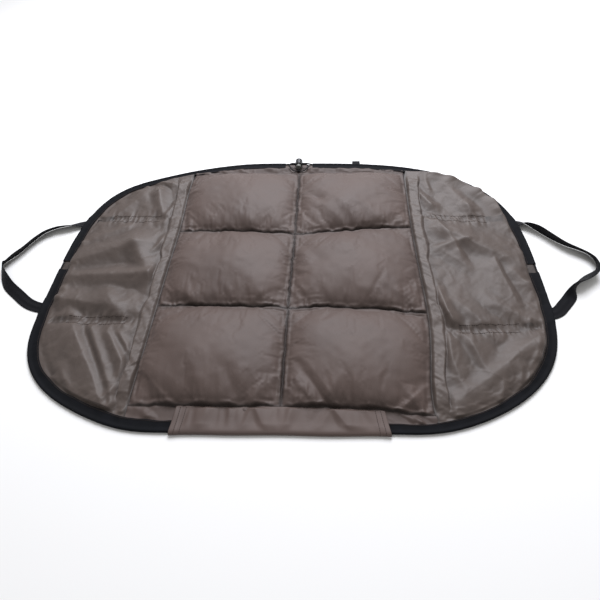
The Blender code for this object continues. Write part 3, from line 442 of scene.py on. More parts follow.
def tones(tree, factor, code, *stops):
    """A ramp between shades of one colour: each stop is a place and how light the colour is there."""
    return ramp(tree, factor, [(place, shaded(code, light)) for place, light in stops])


def coordinates(tree, kind="UV"):
    """Where on the piece a point is: by its UV map in metres, or by the object's own axes."""
    return add_node(tree, "ShaderNodeTexCoord").outputs[kind]


def cloudiness(tree, where, scale, detail):
    """Plain noise, cloudy at low scales and grainy at high ones."""
    return add_node(tree, "ShaderNodeTexNoise", {"Vector": where, "Scale": scale, "Detail": detail}).outputs["Fac"]


def bands(tree, where, spacing, direction="X", **inputs):
    """Soft bands that repeat at a spacing in metres. At scale 1 a wave texture turns by 20 radians in a metre."""
    inputs = {"Vector": where, "Scale": math.pi / (10 * spacing), **inputs}
    return add_node(tree, "ShaderNodeTexWave", inputs, bands_direction=direction).outputs["Fac"]


def worked_out(tree, operation, *values):
    """The result of a Math node."""
    return add_node(tree, "ShaderNodeMath", dict(enumerate(values)), operation=operation).outputs[0]


def spread(tree, value, low, high):
    """A value from 0 to 1 spread between two others."""
    return add_node(tree, "ShaderNodeMapRange", {"Value": value, "To Min": low, "To Max": high}).outputs["Result"]


def bumped(tree, height, strength, distance, **inputs):
    """The surface's direction as tilted by a height."""
    inputs = {"Height": height, "Strength": strength, "Distance": distance, **inputs}
    return add_node(tree, "ShaderNodeBump", inputs).outputs["Normal"]


def connect(tree, shader, **sockets):
    """Feeds the shader's named inputs."""
    for name, socket in sockets.items():
        tree.links.new(socket, shader.inputs[name.replace("_", " ")])


# How far apart threads, ribs, slants and strands are drawn. The real ones are too fine to show
WEAVE_SPACING = 1.2 * MM
COAT_SPACING = 2.0 * MM
RIB_SPACING = 1.5 * MM
SLANT_SPACING = 2.0 * MM
HERRINGBONE_WIDTH = 6.0 * MM
STRAND_SPACING = 1.1 * MM
STRAND_TURN = 35.0


def satin_nylon(name, colour, gloss_low, gloss_high, crinkle):
    """Satin-faced nylon taffeta, woven and calendered: a soft broad sheen, fine ribs, and small creases it remembers.

    The piece's painted_shade attribute darkens it with painted shade in its seams, hollows and other shaded places.
    """
    made, tree, shader = new_material(name, Sheen_Weight=0.12, Sheen_Roughness=0.35, IOR=1.53, Specular_IOR_Level=0.42)
    shader.inputs["Sheen Tint"].default_value = linear("#dcdce2")
    where = coordinates(tree)
    threads = [bands(tree, where, WEAVE_SPACING, direction, Distortion=0.6, Detail=1.0) for direction in ("X", "Y")]
    weave = worked_out(tree, "MULTIPLY", *threads)
    cloudy, fine = cloudiness(tree, where, 9.0, 4.0), cloudiness(tree, where, 700.0, 2.0)
    mixed = add_node(tree, "ShaderNodeMix", {"Factor": 0.35, "A": cloudy, "B": fine}).outputs["Result"]
    tone = tones(tree, mixed, colour, (0.30, 0.90), (0.50, 1.0), (0.72, 1.09))
    inputs = {"B": tone, "A": linear(shaded(colour, 0.86)), "Factor": spread(tree, weave, 0.72, 1.0)}
    woven = add_node(tree, "ShaderNodeMix", inputs, data_type="RGBA")
    woven_colour = next(socket for socket in woven.outputs if socket.type == "RGBA")
    # Painted shade: the painted_shade attribute darkens the colour, to about a third where it is 1
    painted_shade = add_node(tree, "ShaderNodeAttribute", attribute_name="painted_shade").outputs["Fac"]
    inputs = {"Value": spread(tree, painted_shade, 1.0, 0.34), "Color": woven_colour}
    sunk = add_node(tree, "ShaderNodeHueSaturation", inputs).outputs["Color"]
    inputs = {"Vector": where, "Scale": 55.0, "Detail": 3.0, "Distortion": 1.2}
    crumple = add_node(tree, "ShaderNodeTexNoise", inputs, noise_type="RIDGED_MULTIFRACTAL").outputs["Fac"]
    ridges = bumped(tree, crumple, 0.16 * crinkle, 0.0012)
    connect(tree, shader, Base_Color=sunk, Roughness=spread(tree, cloudy, gloss_low, gloss_high),
            Normal=bumped(tree, weave, 0.35, 0.00012, Normal=ridges))
    return made


def coated_nylon(name, colour):
    """Woven nylon with a rubbery coat on the ground side: dull, faintly ribbed, with soft rub marks."""
    made, tree, shader = new_material(name, Roughness=0.62, IOR=1.50)
    where = coordinates(tree)
    tone = tones(tree, cloudiness(tree, where, 14.0, 6.0), colour, (0.32, 0.88), (0.55, 1.0), (0.75, 1.10))
    connect(tree, shader, Base_Color=tone, Normal=bumped(tree, bands(tree, where, COAT_SPACING), 0.3, 0.0001))
    return made


def ribbed_tape(name, colour):
    """Grosgrain polyester tape: close cross ribs with a dull lustre. U runs along the tape and V in from its edge."""
    made, tree, shader = new_material(name, Roughness=0.75, IOR=1.5, Specular_IOR_Level=0.12)
    where = coordinates(tree)
    ribs = bands(tree, where, RIB_SPACING, Distortion=0.4)
    # Painted highlight on the ribs' crests and painted shade in their grooves, mottled at random
    rib_shade_and_mottle = worked_out(tree, "MULTIPLY", ribs, cloudiness(tree, where, 40.0, 5.0))
    tone = tones(tree, rib_shade_and_mottle, colour, (0.1, 0.7), (0.35, 1.0), (0.65, 1.5))
    connect(tree, shader, Base_Color=tone, Normal=bumped(tree, ribs, 0.5, 0.0003))
    return made


def woven_webbing(name, colour):
    """Polypropylene webbing, woven in a herringbone: dull black, with painted highlight on its slanting threads and
    painted shade between them.

    U runs along the webbing and V across it.
    """
    made, tree, shader = new_material(name, Roughness=0.6, IOR=1.49, Specular_IOR_Level=0.12)
    place = add_node(tree, "ShaderNodeSeparateXYZ", {"Vector": coordinates(tree)}).outputs
    slant = worked_out(tree, "ADD", place["X"], worked_out(tree, "PINGPONG", place["Y"], HERRINGBONE_WIDTH))
    wave = worked_out(tree, "SINE", worked_out(tree, "MULTIPLY", slant, 2 * math.pi / SLANT_SPACING))
    rows = add_node(tree, "ShaderNodeMapRange", {"Value": wave, "From Min": -1.0}).outputs["Result"]
    # Painted highlight on the threads' crests and painted shade between them
    tone = tones(tree, rows, colour, (0.1, 0.6), (0.6, 1.0), (0.95, 1.8))
    connect(tree, shader, Base_Color=tone, Normal=bumped(tree, rows, 0.6, 0.0004))
    return made


def braided_cord(name, colour):
    """Braided polyester cord: crossing slanted strands with a low sheen. U runs along the cord and V round it."""
    made, tree, shader = new_material(name, Roughness=0.6, IOR=1.52, Specular_IOR_Level=0.2)
    where = coordinates(tree)
    strands = []
    for turn in (STRAND_TURN, -STRAND_TURN):
        inputs = {"Vector": where, "Rotation": (0.0, 0.0, math.radians(turn))}
        turned = add_node(tree, "ShaderNodeMapping", inputs).outputs["Vector"]
        strands.append(bands(tree, turned, STRAND_SPACING))
    braid = worked_out(tree, "MAXIMUM", *strands)
    # Painted highlight on the strands' crests and painted shade between them
    tone = tones(tree, braid, colour, (0.4, 0.5), (0.8, 1.0), (1.0, 2.0))
    connect(tree, shader, Base_Color=tone, Normal=bumped(tree, braid, 0.7, 0.0003))
    return made


def moulded_acetal(name, colour, roughness):
    """Injection-moulded acetal: smooth with a faint grain and a soft highlight."""
    made, tree, shader = new_material(name, Roughness=roughness, IOR=1.48)
    grain = cloudiness(tree, coordinates(tree, "Object"), 2200.0, 2.0)
    tone = tones(tree, grain, colour, (0.3, 0.92), (0.7, 1.08))
    connect(tree, shader, Base_Color=tone, Normal=bumped(tree, grain, 0.25, 0.0001))
    return made


def spring_wire(name):
    """Drawn stainless spring wire: bright with fine marks along the drawing."""
    made, tree, shader = new_material(name, Roughness=0.28, Metallic=1.0)
    marks = cloudiness(tree, coordinates(tree, "Object"), 3000.0, 2.0)
    connect(tree, shader, Base_Color=ramp(tree, marks, [(0.3, "#a9abad"), (0.7, "#c4c6c8")]))
    return made


def spun_thread(name, colour):
    """Spun polyester thread: dull, and mottled by its fibres."""
    made, tree, shader = new_material(name, Roughness=0.75, IOR=1.52, Specular_IOR_Level=0.2)
    fibres = cloudiness(tree, coordinates(tree, "Object"), 1500.0, 2.0)
    connect(tree, shader, Base_Color=tones(tree, fibres, colour, (0.3, 0.85), (0.7, 1.15)))
    return made


def shared_material(name, maker, *values):
    """The material of that name, made on its first use."""
    return bpy.data.materials.get(name) or maker(name, *values)


def panel_cloth():
    return shared_material("panel_satin_nylon", satin_nylon, colours().panel_nylon, 0.58, 0.68, 0.5)


def wing_cloth():
    return shared_material("wing_satin_nylon", satin_nylon, colours().wing_nylon, 0.52, 0.61, 0.5)


def tape_cloth():
    return shared_material("grosgrain_tape", ribbed_tape, colours().tape)


def handle_webbing():
    return shared_material("woven_webbing", woven_webbing, colours().webbing)


def cord_braid():
    return shared_material("braided_cord", braided_cord, colours().cord)


def seam_thread():
    return shared_material("spun_thread", spun_thread, colours().thread)


# Stitches: each ring's place along the thread and its thickness, as shares, and the thread's half-length as a share of
# the stitch's length
STITCH_RINGS = np.array([(-1.0, 0.2), (-0.75, 0.85), (0.0, 1.0), (0.75, 0.85), (1.0, 0.2)])
STITCH_SIDES = 6
STITCH_RADIUS = 0.42 * MM
STITCH_COVER = 0.42
# Where the tape's stitches run, the channels' seams off their middles, and the flat patches at the channels' ends
STITCH_INSET = 18.2 * MM
CHANNEL_HALF_WIDTH = 9.0 * MM
PATCH_START = 446.0 * MM
PATCH_END = 484.0 * MM


def make_stitches(name, paths):
    """Rows of lockstitch on a surface: each stitch an arched thread, its height 1 - share^2 above where it goes in."""
    starts, ends = [], []
    for path in paths:
        even, _ = even_steps(path, sizes().stitch_length)
        starts.append(even[:-1])
        ends.append(even[1:])
    starts, ends = np.concatenate(starts), np.concatenate(ends)
    ahead = ends - starts
    length = np.linalg.norm(ahead, axis=1)[:, None]
    ahead = ahead / length
    aside = np.cross(ahead, (0.0, 0.0, 1.0))
    aside /= np.linalg.norm(aside, axis=1)[:, None]
    above = np.cross(aside, ahead)
    turn = 2 * np.pi * np.arange(STITCH_SIDES) / STITCH_SIDES
    place, thick = STITCH_RINGS[:, 0], STITCH_RINGS[:, 1] * STITCH_RADIUS
    middle = ((starts + ends) / 2)[:, None] + (length * STITCH_COVER * place)[..., None] * ahead[:, None]
    middle = middle + (STITCH_RADIUS * (1.1 - place**2))[None, :, None] * above[:, None]
    ring = np.cos(turn)[:, None] * aside[:, None, None] + np.sin(turn)[:, None] * above[:, None, None]
    points = middle[:, :, None] + thick[None, :, None, None] * ring
    each = len(STITCH_RINGS) * STITCH_SIDES
    first = np.arange(len(starts))[:, None, None] * each
    sides = (grid_faces(len(STITCH_RINGS), STITCH_SIDES, wrap=True)[None] + first).reshape(-1, 4)
    tips = np.stack([np.arange(STITCH_SIDES)[::-1], each - STITCH_SIDES + np.arange(STITCH_SIDES)])
    mesh = bpy.data.meshes.new(name)
    polygons = sides.tolist() + (tips[None] + first).reshape(-1, STITCH_SIDES).tolist()
    mesh.from_pydata(points.reshape(-1, 3).tolist(), [], polygons)
    mesh.shade_smooth()
    mesh.materials.append(seam_thread())
    piece = bpy.data.objects.new(name, mesh)
    bpy.context.scene.collection.objects.link(piece)
    return piece


# How far from the middle the cord's tails and the cloth under them keep clear for the lock, and over how much they fade
CORD_FREE_X = 18.0 * MM
CORD_FREE_FADE = 16.0 * MM

# The quilted panel: step of the cloth run and how much finer its drawn grid is, rows of the flat cloth at its ends, and
# the pillows' crown
QUILT_STEP = 5.0 * MM
QUILT_FINER = 4
FLANGE_ROWS = 16
PILLOW_CROWN = 33.0 * MM
PILLOW_POWER = 0.55
QUILT_FRAMES = 22
BLUR_ROUNDS = 40
# How much shows of the settled wrinkles and of the folds below, and how far from a seam they are whole
WRINKLE_SHARE, WRINKLE_ONSET = 0.4, 9 * MM
FOLD_SHARE, FOLD_ONSET = 0.85, 5 * MM
# Puckers beside the seams: their height, how far they reach, and how far from the seam they are whole
ROW_PUCKER, ROW_REACH = 1.3 * MM, 26 * MM
ROW_BACK_SHARE, ROW_BACK_REACH = 0.45, 12 * MM
COLUMN_PUCKER, COLUMN_REACH = 1.0 * MM, 13 * MM
PUCKER_ONSET = 4 * MM
# How far the seams wander to and fro, in millimetres, and how far beside them
SEAM_WANDER = 0.8
ROW_WANDER_REACH, COLUMN_WANDER_REACH = 12 * MM, 10 * MM
# Painted shade in the seams: how wide they are painted dark, and how much and how far the painted shade beside them
# reaches
SEAM_SHADE_WIDTH = 3.2 * MM
SEAM_SHADE, SEAM_SHADE_REACH = 0.35, 9 * MM
# The flat ends: how much painted shade they get, how high their puckers and how slanted, how low they may go, and how
# high the back one stands towards the lock, in millimetres away from it and more near it
FLANGE_SHADE = 0.3
FLANGE_PUCKER = 1.6 * MM
FLANGE_SLANT = 1.4
FLANGE_LOWEST = -0.6 * MM
FLANGE_STAND, FLANGE_STAND_NEAR, FLANGE_NEAR = 2.5, 4.0, 95 * MM

# Folds of the cover, seen in the photograph: left end and right end in plan, the ridge's height at each, and how wide
# its front and back sides are, all in millimetres. A height below 0 is a crease.
COVER_FOLDS = (
    ((-82, -318, -73, -270), (7, 2), (14, 30)), ((-104, -268, -80, -312), (-3, -6), (16, 16)),
    ((-140, -316, -158, -262), (5, 1), (18, 26)), ((-266, -262, -196, -326), (8, 8), (14, 34)),
    ((-236, -290, -178, -330), (-3, -8), (12, 16)), ((-40, -318, -30, -268), (4, 1), (16, 22)),
    ((2, -272, 66, -326), (5, 9), (34, 22)), ((34, -258, 80, -324), (-3, -11), (14, 10)),
    ((76, -322, 112, -268), (9, 2), (26, 16)), ((128, -262, 150, -322), (2, 6), (18, 26)),
    ((190, -326, 172, -276), (4, 1), (18, 22)), ((214, -328, 240, -304), (7, 7), (16, 10)),
    ((240, -304, 254, -326), (7, 5), (10, 16)), ((14, 258, 52, 214), (-2, -5), (14, 18)),
    ((52, 200, 116, 122), (1, 5), (18, 26)), ((92, 208, 150, 122), (1, 6), (16, 24)),
    ((132, 204, 206, 122), (1, 5), (16, 26)), ((214, 168, 252, 124), (1, 4), (16, 20)),
    ((-214, 158, -176, 122), (1, 4), (14, 22)), ((-134, 160, -96, 120), (1, 4), (16, 22)),
    ((-60, 168, -36, 122), (1, 4), (14, 18)), ((-254, -64, -190, -102), (1, 5), (16, 22)),
    ((-140, -58, -112, -104), (1, 4), (16, 20)), ((-74, -62, -46, -104), (1, 5), (14, 20)),
    ((24, -60, 58, -104), (1, 4), (16, 20)), ((118, -48, 200, -104), (1, 4), (16, 24)),
    ((190, -50, 262, -106), (1, 5), (16, 24)), ((14, 82, 56, 12), (-2, -3), (16, 20)),
    ((-270, 12, -196, -22), (3, 1), (14, 20)),
)


# How round a fold's crest is, how far its sides run, and how softly they end
CREST_SHARE = 0.28
FOLD_SPREAD = 1.30
FOLD_POWER = 1.6


def fold_heights(x, y, folds):
    """Ridges whose sides fall evenly from a sharp crest and which die away past their ends, joined by a soft maximum.

    Creases are the same shape turned over.
    """
    raised, sunk = np.zeros_like(x), np.zeros_like(x)
    for (start_x, start_y, end_x, end_y), heights, (front, back) in folds:
        if start_x > end_x:
            start_x, start_y, end_x, end_y, heights = end_x, end_y, start_x, start_y, heights[::-1]
        reach = np.hypot(end_x - start_x, end_y - start_y)
        ahead = np.array([end_x - start_x, end_y - start_y]) / reach
        from_x, from_y = x / MM - start_x, y / MM - start_y
        along = from_x * ahead[0] + from_y * ahead[1]
        aside = from_x * ahead[1] - from_y * ahead[0]
        past = np.maximum(np.maximum(-along, along - reach), 0.0)
        width = np.where(aside > 0, front, back)
        away = np.hypot(aside / width, past / (0.8 * (front + back)))
        away = (np.hypot(away, CREST_SHARE) - CREST_SHARE) / FOLD_SPREAD
        height = np.interp(along, (0.0, reach), heights) * np.clip(1 - away, 0.0, 1.0) ** FOLD_POWER
        raised += np.clip(height, 0.0, None) ** 2
        sunk += np.clip(-height, 0.0, None) ** 2
    return (np.sqrt(raised) - np.sqrt(sunk)) * MM


def blurred(field, rounds):
    """A grid's values evened out by repeated averages of each point with its four neighbours."""
    for _ in range(rounds):
        for axis in (0, 1):
            field = np.swapaxes(field, 0, axis)
            wide = np.concatenate([field[:1], field, field[-1:]])
            field = np.swapaxes((wide[:-2] + 2 * wide[1:-1] + wide[2:]) / 4, 0, axis)
    return field


def seam_distance(value, first, step):
    """How far a coordinate is from the nearest of the evenly spaced seams."""
    return np.abs((value - first + step / 2) % step - step / 2)


def pillow_heights(x, y):
    """Crowned pillows between the seams: a power of the sine across times the same along."""
    across = np.abs(np.sin(np.pi * x / COLUMN_WIDTH)) ** PILLOW_POWER
    along = np.abs(np.sin(np.pi * (y + PANEL_END) / ROW_DEPTH)) ** PILLOW_POWER
    return PILLOW_CROWN * across * along


def quilt_wrinkles():
    """Wrinkles of the settled cover on an even grid: its height less the same height evened out."""
    columns = 2 * round(COLUMN_WIDTH / QUILT_STEP) + 1
    rows = ROW_COUNT * round(ROW_DEPTH / QUILT_STEP) + 1
    x, y = np.meshgrid(np.linspace(-COLUMN_WIDTH, COLUMN_WIDTH, columns), np.linspace(-PANEL_END, PANEL_END, rows))
    flat = np.stack([x, y, np.zeros_like(x)], axis=-1)
    pinned = np.zeros(x.shape, bool)
    pinned[:, :: (columns - 1) // 2] = True
    pinned[:: (rows - 1) // ROW_COUNT] = True
    start = pillow_heights(x, y) * 0.25 * (1 + 0.15 * rumple(x, y, 30 * MM, 3))
    start[pinned] = 0.0
    settled = settled_cloth(flat, pinned, sizes().pillow_pressure, sizes().pillow_excess, QUILT_FRAMES, start)
    return x, y, settled[..., 2] - blurred(settled[..., 2], BLUR_ROUNDS)


def quilt_relief(x, y, wrinkles):
    """The cover's height over its seams: pillows, settled wrinkles, the folds seen in the photograph, and puckers."""
    from_row, from_column = seam_distance(y, -PANEL_END, ROW_DEPTH), seam_distance(x, 0.0, COLUMN_WIDTH)
    from_seam = np.minimum(from_row, from_column)
    inside = smooth_step(from_seam / WRINKLE_ONSET)
    z = pillow_heights(x, y) + WRINKLE_SHARE * wrinkles * inside
    z += FOLD_SHARE * fold_heights(x, y, COVER_FOLDS) * smooth_step(from_seam / FOLD_ONSET)
    in_front = (y + PANEL_END) % ROW_DEPTH
    row_reach = np.exp(-in_front / ROW_REACH) + ROW_BACK_SHARE * np.exp(-(ROW_DEPTH - in_front) / ROW_BACK_REACH)
    puckers = np.maximum(rumple(x, 0.12 * y, 11 * MM, 31), -0.5) + 0.6 * rumple(x, 0.3 * y, 5 * MM, 32)
    z += ROW_PUCKER * puckers * row_reach * smooth_step(from_row / PUCKER_ONSET)
    puckers = np.maximum(rumple(0.15 * x, y, 10 * MM, 33), -0.5) + 0.5 * rumple(0.3 * x, y, 5 * MM, 34)
    z += COLUMN_PUCKER * puckers * np.exp(-from_column / COLUMN_REACH) * smooth_step(from_column / PUCKER_ONSET)
    return z + (1.5 * MM * rumple(x, y, 60 * MM, 35) + 0.22 * MM * rumple(x, y, 12 * MM, 36)) * inside


def flange_points(part, edge):
    """The flat cloth from the panel's front or back seam out to the binding, with slanted puckers.

    At the back it stands up towards the lock, and is flat right under it.
    """
    share = np.linspace(0.0, 1.0, FLANGE_ROWS + 1)[:, None]
    out = RIM.end_y(part, np.abs(edge[:, 0]), CLOTH_EDGE_INSET)
    if part == "back":
        out = out + CLOTH_REACH * opened(edge[:, 0], BACK_OPENING)
    run_y = edge[:, 1] + share * (out - edge[:, 1])
    run_x = np.broadcast_to(edge[:, 0], run_y.shape)
    fade = smooth_step(share / 0.15) * smooth_step((0.66 - share) / 0.18)
    slant = run_x + FLANGE_SLANT * (run_y - edge[:, 1])
    puckers = rumple(slant, run_y * 0.5, 17 * MM, 8) + 0.4 * rumple(run_x, run_y * 0.6, 8 * MM, 9)
    height = FLANGE_PUCKER * np.maximum(puckers, -0.5)
    if part == "back":
        near_lock = np.exp(-((run_x / FLANGE_NEAR) ** 2))
        clear_of_lock = smooth_step((np.abs(run_x) - CORD_FREE_X) / CORD_FREE_FADE)
        stand = (FLANGE_STAND + FLANGE_STAND_NEAR * near_lock) * MM
        height = (height + stand * smooth_step(share / 0.55)) * clear_of_lock
    level = edge[:, 2] + (COVER_TOP - edge[:, 2]) * share
    return np.stack([run_x, run_y, level + np.maximum(height, FLANGE_LOWEST) * fade], axis=-1)[1:]


def quilt_points():
    """The cover's points from the front binding to the back one, and how much painted shade each gets in the seams and
    on the flat ends.
    """
    x, y, wrinkles = quilt_wrinkles()
    rows, columns = x.shape
    down = np.linspace(0, rows - 1, (rows - 1) * QUILT_FINER + 1)
    across = np.linspace(0, columns - 1, (columns - 1) * QUILT_FINER + 1)
    across, down = np.meshgrid(across, down)
    x = np.interp(across, (0, columns - 1), (-COLUMN_WIDTH, COLUMN_WIDTH))
    y = np.interp(down, (0, rows - 1), (-PANEL_END, PANEL_END))
    z = quilt_relief(x, y, read_grid(wrinkles, down, across))
    from_row, from_column = seam_distance(y, -PANEL_END, ROW_DEPTH), seam_distance(x, 0.0, COLUMN_WIDTH)
    from_seam = np.minimum(from_row, from_column)
    wander_y = SEAM_WANDER * (rumple(x, 0 * x, 9 * MM, 37) + rumple(x, 0 * x, 31 * MM, 39)) * MM
    wander_x = SEAM_WANDER * rumple(0 * y, y, 11 * MM, 38) * MM * (np.abs(x) < COLUMN_WIDTH / 2)
    moved_x = x + wander_x * np.exp(-from_column / COLUMN_WANDER_REACH)
    moved_y = y + wander_y * np.exp(-from_row / ROW_WANDER_REACH)
    fine = np.stack([moved_x, moved_y, COVER_TOP + np.maximum(z, 0.0)], axis=-1)
    # Painted shade: dark in the seams and fading beside them
    depth = np.exp(-((from_seam / SEAM_SHADE_WIDTH) ** 2)) + SEAM_SHADE * np.exp(-from_seam / SEAM_SHADE_REACH)
    front, back = flange_points("front", fine[0]), flange_points("back", fine[-1])
    # Painted shade on the flat ends
    flat_shade = np.full(front.shape[:2], FLANGE_SHADE)
    return np.concatenate([front[::-1], fine, back]), np.concatenate([flat_shade, np.minimum(depth, 1.0), flat_shade])


def make_quilt():
    """The padded panel: its quilted top, straight sides and flat underside in one closed form."""
    top, depth = quilt_points()
    rim = np.concatenate([top[:1], top, top[-1:]])
    rim[0, :, 2] = rim[-1, :, 2] = SHEET_TOP + 0.2 * MM
    wide = np.concatenate([rim[:, :1], rim, rim[:, -1:]], axis=1)
    wide[:, 0, 2] = wide[:, -1, 2] = SHEET_TOP + 0.2 * MM
    uv = wide[..., :2].copy()
    quilt = make_piece("quilted_panel", as_laid(wide), uv, panel_cloth())
    # Painted shade in the seams and on the flat ends, which the material darkens by
    add_painted_shade(quilt, np.pad(depth, 1, mode="edge"))
    close_underneath(quilt)
    for label in ("left", "right"):
        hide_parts("cover_" + label)
        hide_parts(*[f"pad_{place}_{label}" for place in ("front", "middle", "back")])
    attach(quilt, "panel")
    seams = [top[FLANGE_ROWS + row] for row in np.arange(ROW_COUNT + 1) * round(ROW_DEPTH / QUILT_STEP) * QUILT_FINER]
    seams.append(top[FLANGE_ROWS:-FLANGE_ROWS, (top.shape[1] - 1) // 2])
    stitches = make_stitches("quilt_stitches", [as_laid(seam) for seam in seams])
    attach(stitches, "panel")


def close_underneath(piece):
    """Closes a grid's open edge with one flat face that looks down."""
    shape = bmesh.new()
    shape.from_mesh(piece.data)
    bmesh.ops.contextual_create(shape, geom=[edge for edge in shape.edges if edge.is_boundary])
    bmesh.ops.recalc_face_normals(shape, faces=shape.faces)
    shape.to_mesh(piece.data)
    shape.free()


# The wings' loose cloth with the pleat beside the panel: step of the cloth run, the drawn grid, where the cloth is sewn
# to the panel, and how far in from the edge it is held by the tape
WING_STEP = 4.5 * MM
WING_ROWS = 420
WING_COLUMNS = 130
WING_CROWDING = 0.35
WING_FRAMES = 14
WING_PRESSURE = 0.4
WING_BLUR_ROUNDS = 14
SEAM_X = COLUMN_WIDTH - 1.5 * MM
HELD_INSET = 21.5 * MM
# How much shows of the folds below and of the settled wrinkles, and how much less of the folds by and on a channel
WING_FOLD_SHARE = 1.25
WING_WRINKLE_SHARE = 0.3
NEAR_CHANNEL_LOSS = 0.45
ON_CHANNEL_LOSS = 0.25
# How far the cloth is held at the tape and at the pleat before it lies loose
TAPE_HOLD, TAPE_HOLD_FADE = HELD_INSET - 0.7 * MM, 6 * MM
PLEAT_HOLD, PLEAT_HOLD_FADE = 20 * MM, 16 * MM
SEAM_FADE = 5 * MM
# How far a channel's gathers reach: in its ruche, beside it, in the cloth run's guide and in its extra length
RUCHE_REACH, CHANNEL_REACH, GUIDE_REACH, GATHER_REACH = 11 * MM, 26 * MM, 9 * MM, 30 * MM
# Heights of the ruche and the gathers beside it, of the sharp creases and the fine rumples, and of the hem's puckers
RUCHE, BESIDE_RUCHE = 1.1 * MM, 0.9 * MM
CREASE, FINE_RUMPLE = 0.5 * MM, 0.12 * MM
HEM_PUCKER, HEM_PUCKER_INSET, HEM_PUCKER_REACH = 2.0 * MM, 26 * MM, 12 * MM
WING_LOWEST = -0.9 * MM
# Pleat: its mean width and how much that varies over long and short ways, in millimetres
PLEAT_WIDTHS = (25.5, 2.5, 1.3)

# Folds of each wing, seen in the photograph, with x measured outwards: inner end and outer end in plan, the ridge's
# height at each, and how wide its front and back sides are, in millimetres
WING_FOLDS = {
    1: (
        ((370, 86, 500, 4), (13, 7), (26, 50)), ((334, 132, 366, 46), (9, 8), (26, 14)),
        ((339, 56, 390, 74), (6, 8), (18, 14)), ((338, 42, 374, 10), (3, 3), (14, 22)),
        ((440, 4, 453, -66), (8, 5), (44, 13)), ((470, -10, 500, -60), (6, 4), (22, 22)),
        ((277, -336, 489, -166), (5, 12), (46, 30)), ((303, -182, 326, -280), (9, 5), (16, 34)),
        ((346, -180, 372, -258), (9, 4), (15, 34)), ((294, -252, 298, -312), (5, 4), (10, 18)),
        ((292, -66, 322, -146), (12, 15), (11, 26)), ((340, -90, 380, -140), (5, 8), (24, 30)),
        ((420, -96, 470, -138), (5, 8), (24, 30)), ((354, 304, 412, 188), (7, 8), (30, 34)),
        ((412, 190, 420, 146), (8, 5), (16, 20)), ((318, 318, 330, 262), (6, 5), (16, 12)),
        ((300, 250, 326, 196), (5, 7), (16, 18)), ((440, 236, 484, 168), (9, 5), (20, 30)),
        ((470, -196, 446, -300), (7, 4), (20, 24)), ((392, -280, 380, -330), (5, 4), (14, 18)),
        ((430, -250, 424, -310), (5, 4), (12, 16)),
    ),
    -1: (
        ((314, -28, 508, -36), (12, 7), (26, 30)), ((372, 58, 494, 10), (15, 9), (32, 50)),
        ((314, -24, 360, 54), (8, 13), (30, 34)), ((356, -118, 482, -98), (9, 9), (24, 40)),
        ((340, -152, 378, -98), (10, 10), (40, 26)), ((326, -326, 433, -164), (8, 13), (50, 18)),
        ((302, -324, 392, -172), (7, 10), (16, 22)), ((280, -292, 352, -186), (9, 10), (26, 16)),
        ((286, -246, 330, -186), (5, 7), (12, 14)), ((325, 157, 352, 246), (5, 12), (26, 20)),
        ((362, 170, 392, 250), (3, 6), (34, 30)), ((330, 290, 372, 300), (5, 6), (14, 12)),
        ((300, 200, 322, 150), (5, 6), (18, 14)), ((398, 232, 440, 160), (5, 4), (30, 30)),
        ((410, 120, 470, 84), (5, 5), (20, 24)), ((300, 84, 320, 44), (7, 5), (12, 16)),
        ((372, -330, 420, -262), (4, 5), (16, 18)), ((290, -300, 300, -345), (6, 5), (10, 12)),
        ((312, -308, 330, -342), (5, 4), (10, 12)),
    ),
}
# How high the wing's cloth rolls over the binding: middle of the roll in plan with x outwards, its half-length and its
# height, in millimetres
WING_ROLLS = {
    1: ((380, 300, 150, 15.0), (438, 243, 135, 14.0), (508, 40, 30, 4.0)),
    -1: ((300, 345, 90, 7.0), (508, 20, 30, 4.0)),
}
ROLL_OVERHANG_SHARE = 0.55
# Over what lengths a roll rises at the tape, stays up and falls away inwards
ROLL_RISE, ROLL_TOP, ROLL_FALL = 5 * MM, 6 * MM, 26 * MM
# Painted shade: rounds of the blur that hollows are measured from, and the depth that counts in full
HOLLOW_ROUNDS = 60
HOLLOW_DEPTH = 6 * MM
HOLLOW_MOST = 0.25
PATCH_DARKNESS, SEAM_PAINTED_SHADE = 0.55, 0.85
PATCH_FADE = 2 * MM


def channel_nearness(x, y, reach):
    """1 on the elastic channels, fading to 0 at the reach from them, between each channel's start and end."""
    total = np.zeros_like(x)
    for place, sign in (("back", 1), ("front", -1)):
        end = CHANNEL_ENDS[place]
        inside = smooth_step((x - CHANNEL_START + 30 * MM) / (30 * MM)) * smooth_step((end + 20 * MM - x) / (20 * MM))
        total = np.maximum(total, inside * np.exp(-(((y - sign * CHANNEL_Y) / reach) ** 2)))
    return total


def pleat_heights(x, y):
    """The strip of doubled cloth beside the panel: a flat top that rises to a steep outer edge, puckered along it."""
    mean, slow, quick_change = PLEAT_WIDTHS
    width = (mean + slow * rumple(0 * y, y, 90 * MM, 20) + quick_change * rumple(0 * y, y, 22 * MM, 24)) * MM
    share = (x - SEAM_X) / width
    softness = 0.20 + 0.30 * smooth_step(0.5 + 0.9 * rumple(0 * y, y, 55 * MM, 25))
    top = smooth_step(share / 0.3) * (0.65 + 0.35 * share) * smooth_step((0.98 + softness - share) / softness)
    low = 1 - 0.22 * channel_nearness(np.full_like(x, CHANNEL_START), y, 16 * MM)
    ends = smooth_step((PANEL_END - np.abs(y)) / (30 * MM))
    step = 0.85 + 0.12 * rumple(0 * y, y, 45 * MM, 23)
    slant = y + 0.8 * (x - SEAM_X)
    puckers = 1 + 0.05 * rumple(x * 0.3, slant, 9 * MM, 21) + 0.04 * rumple(x * 0.3, slant, 5 * MM, 22)
    return sizes().pleat_height * top * low * ends * puckers * step


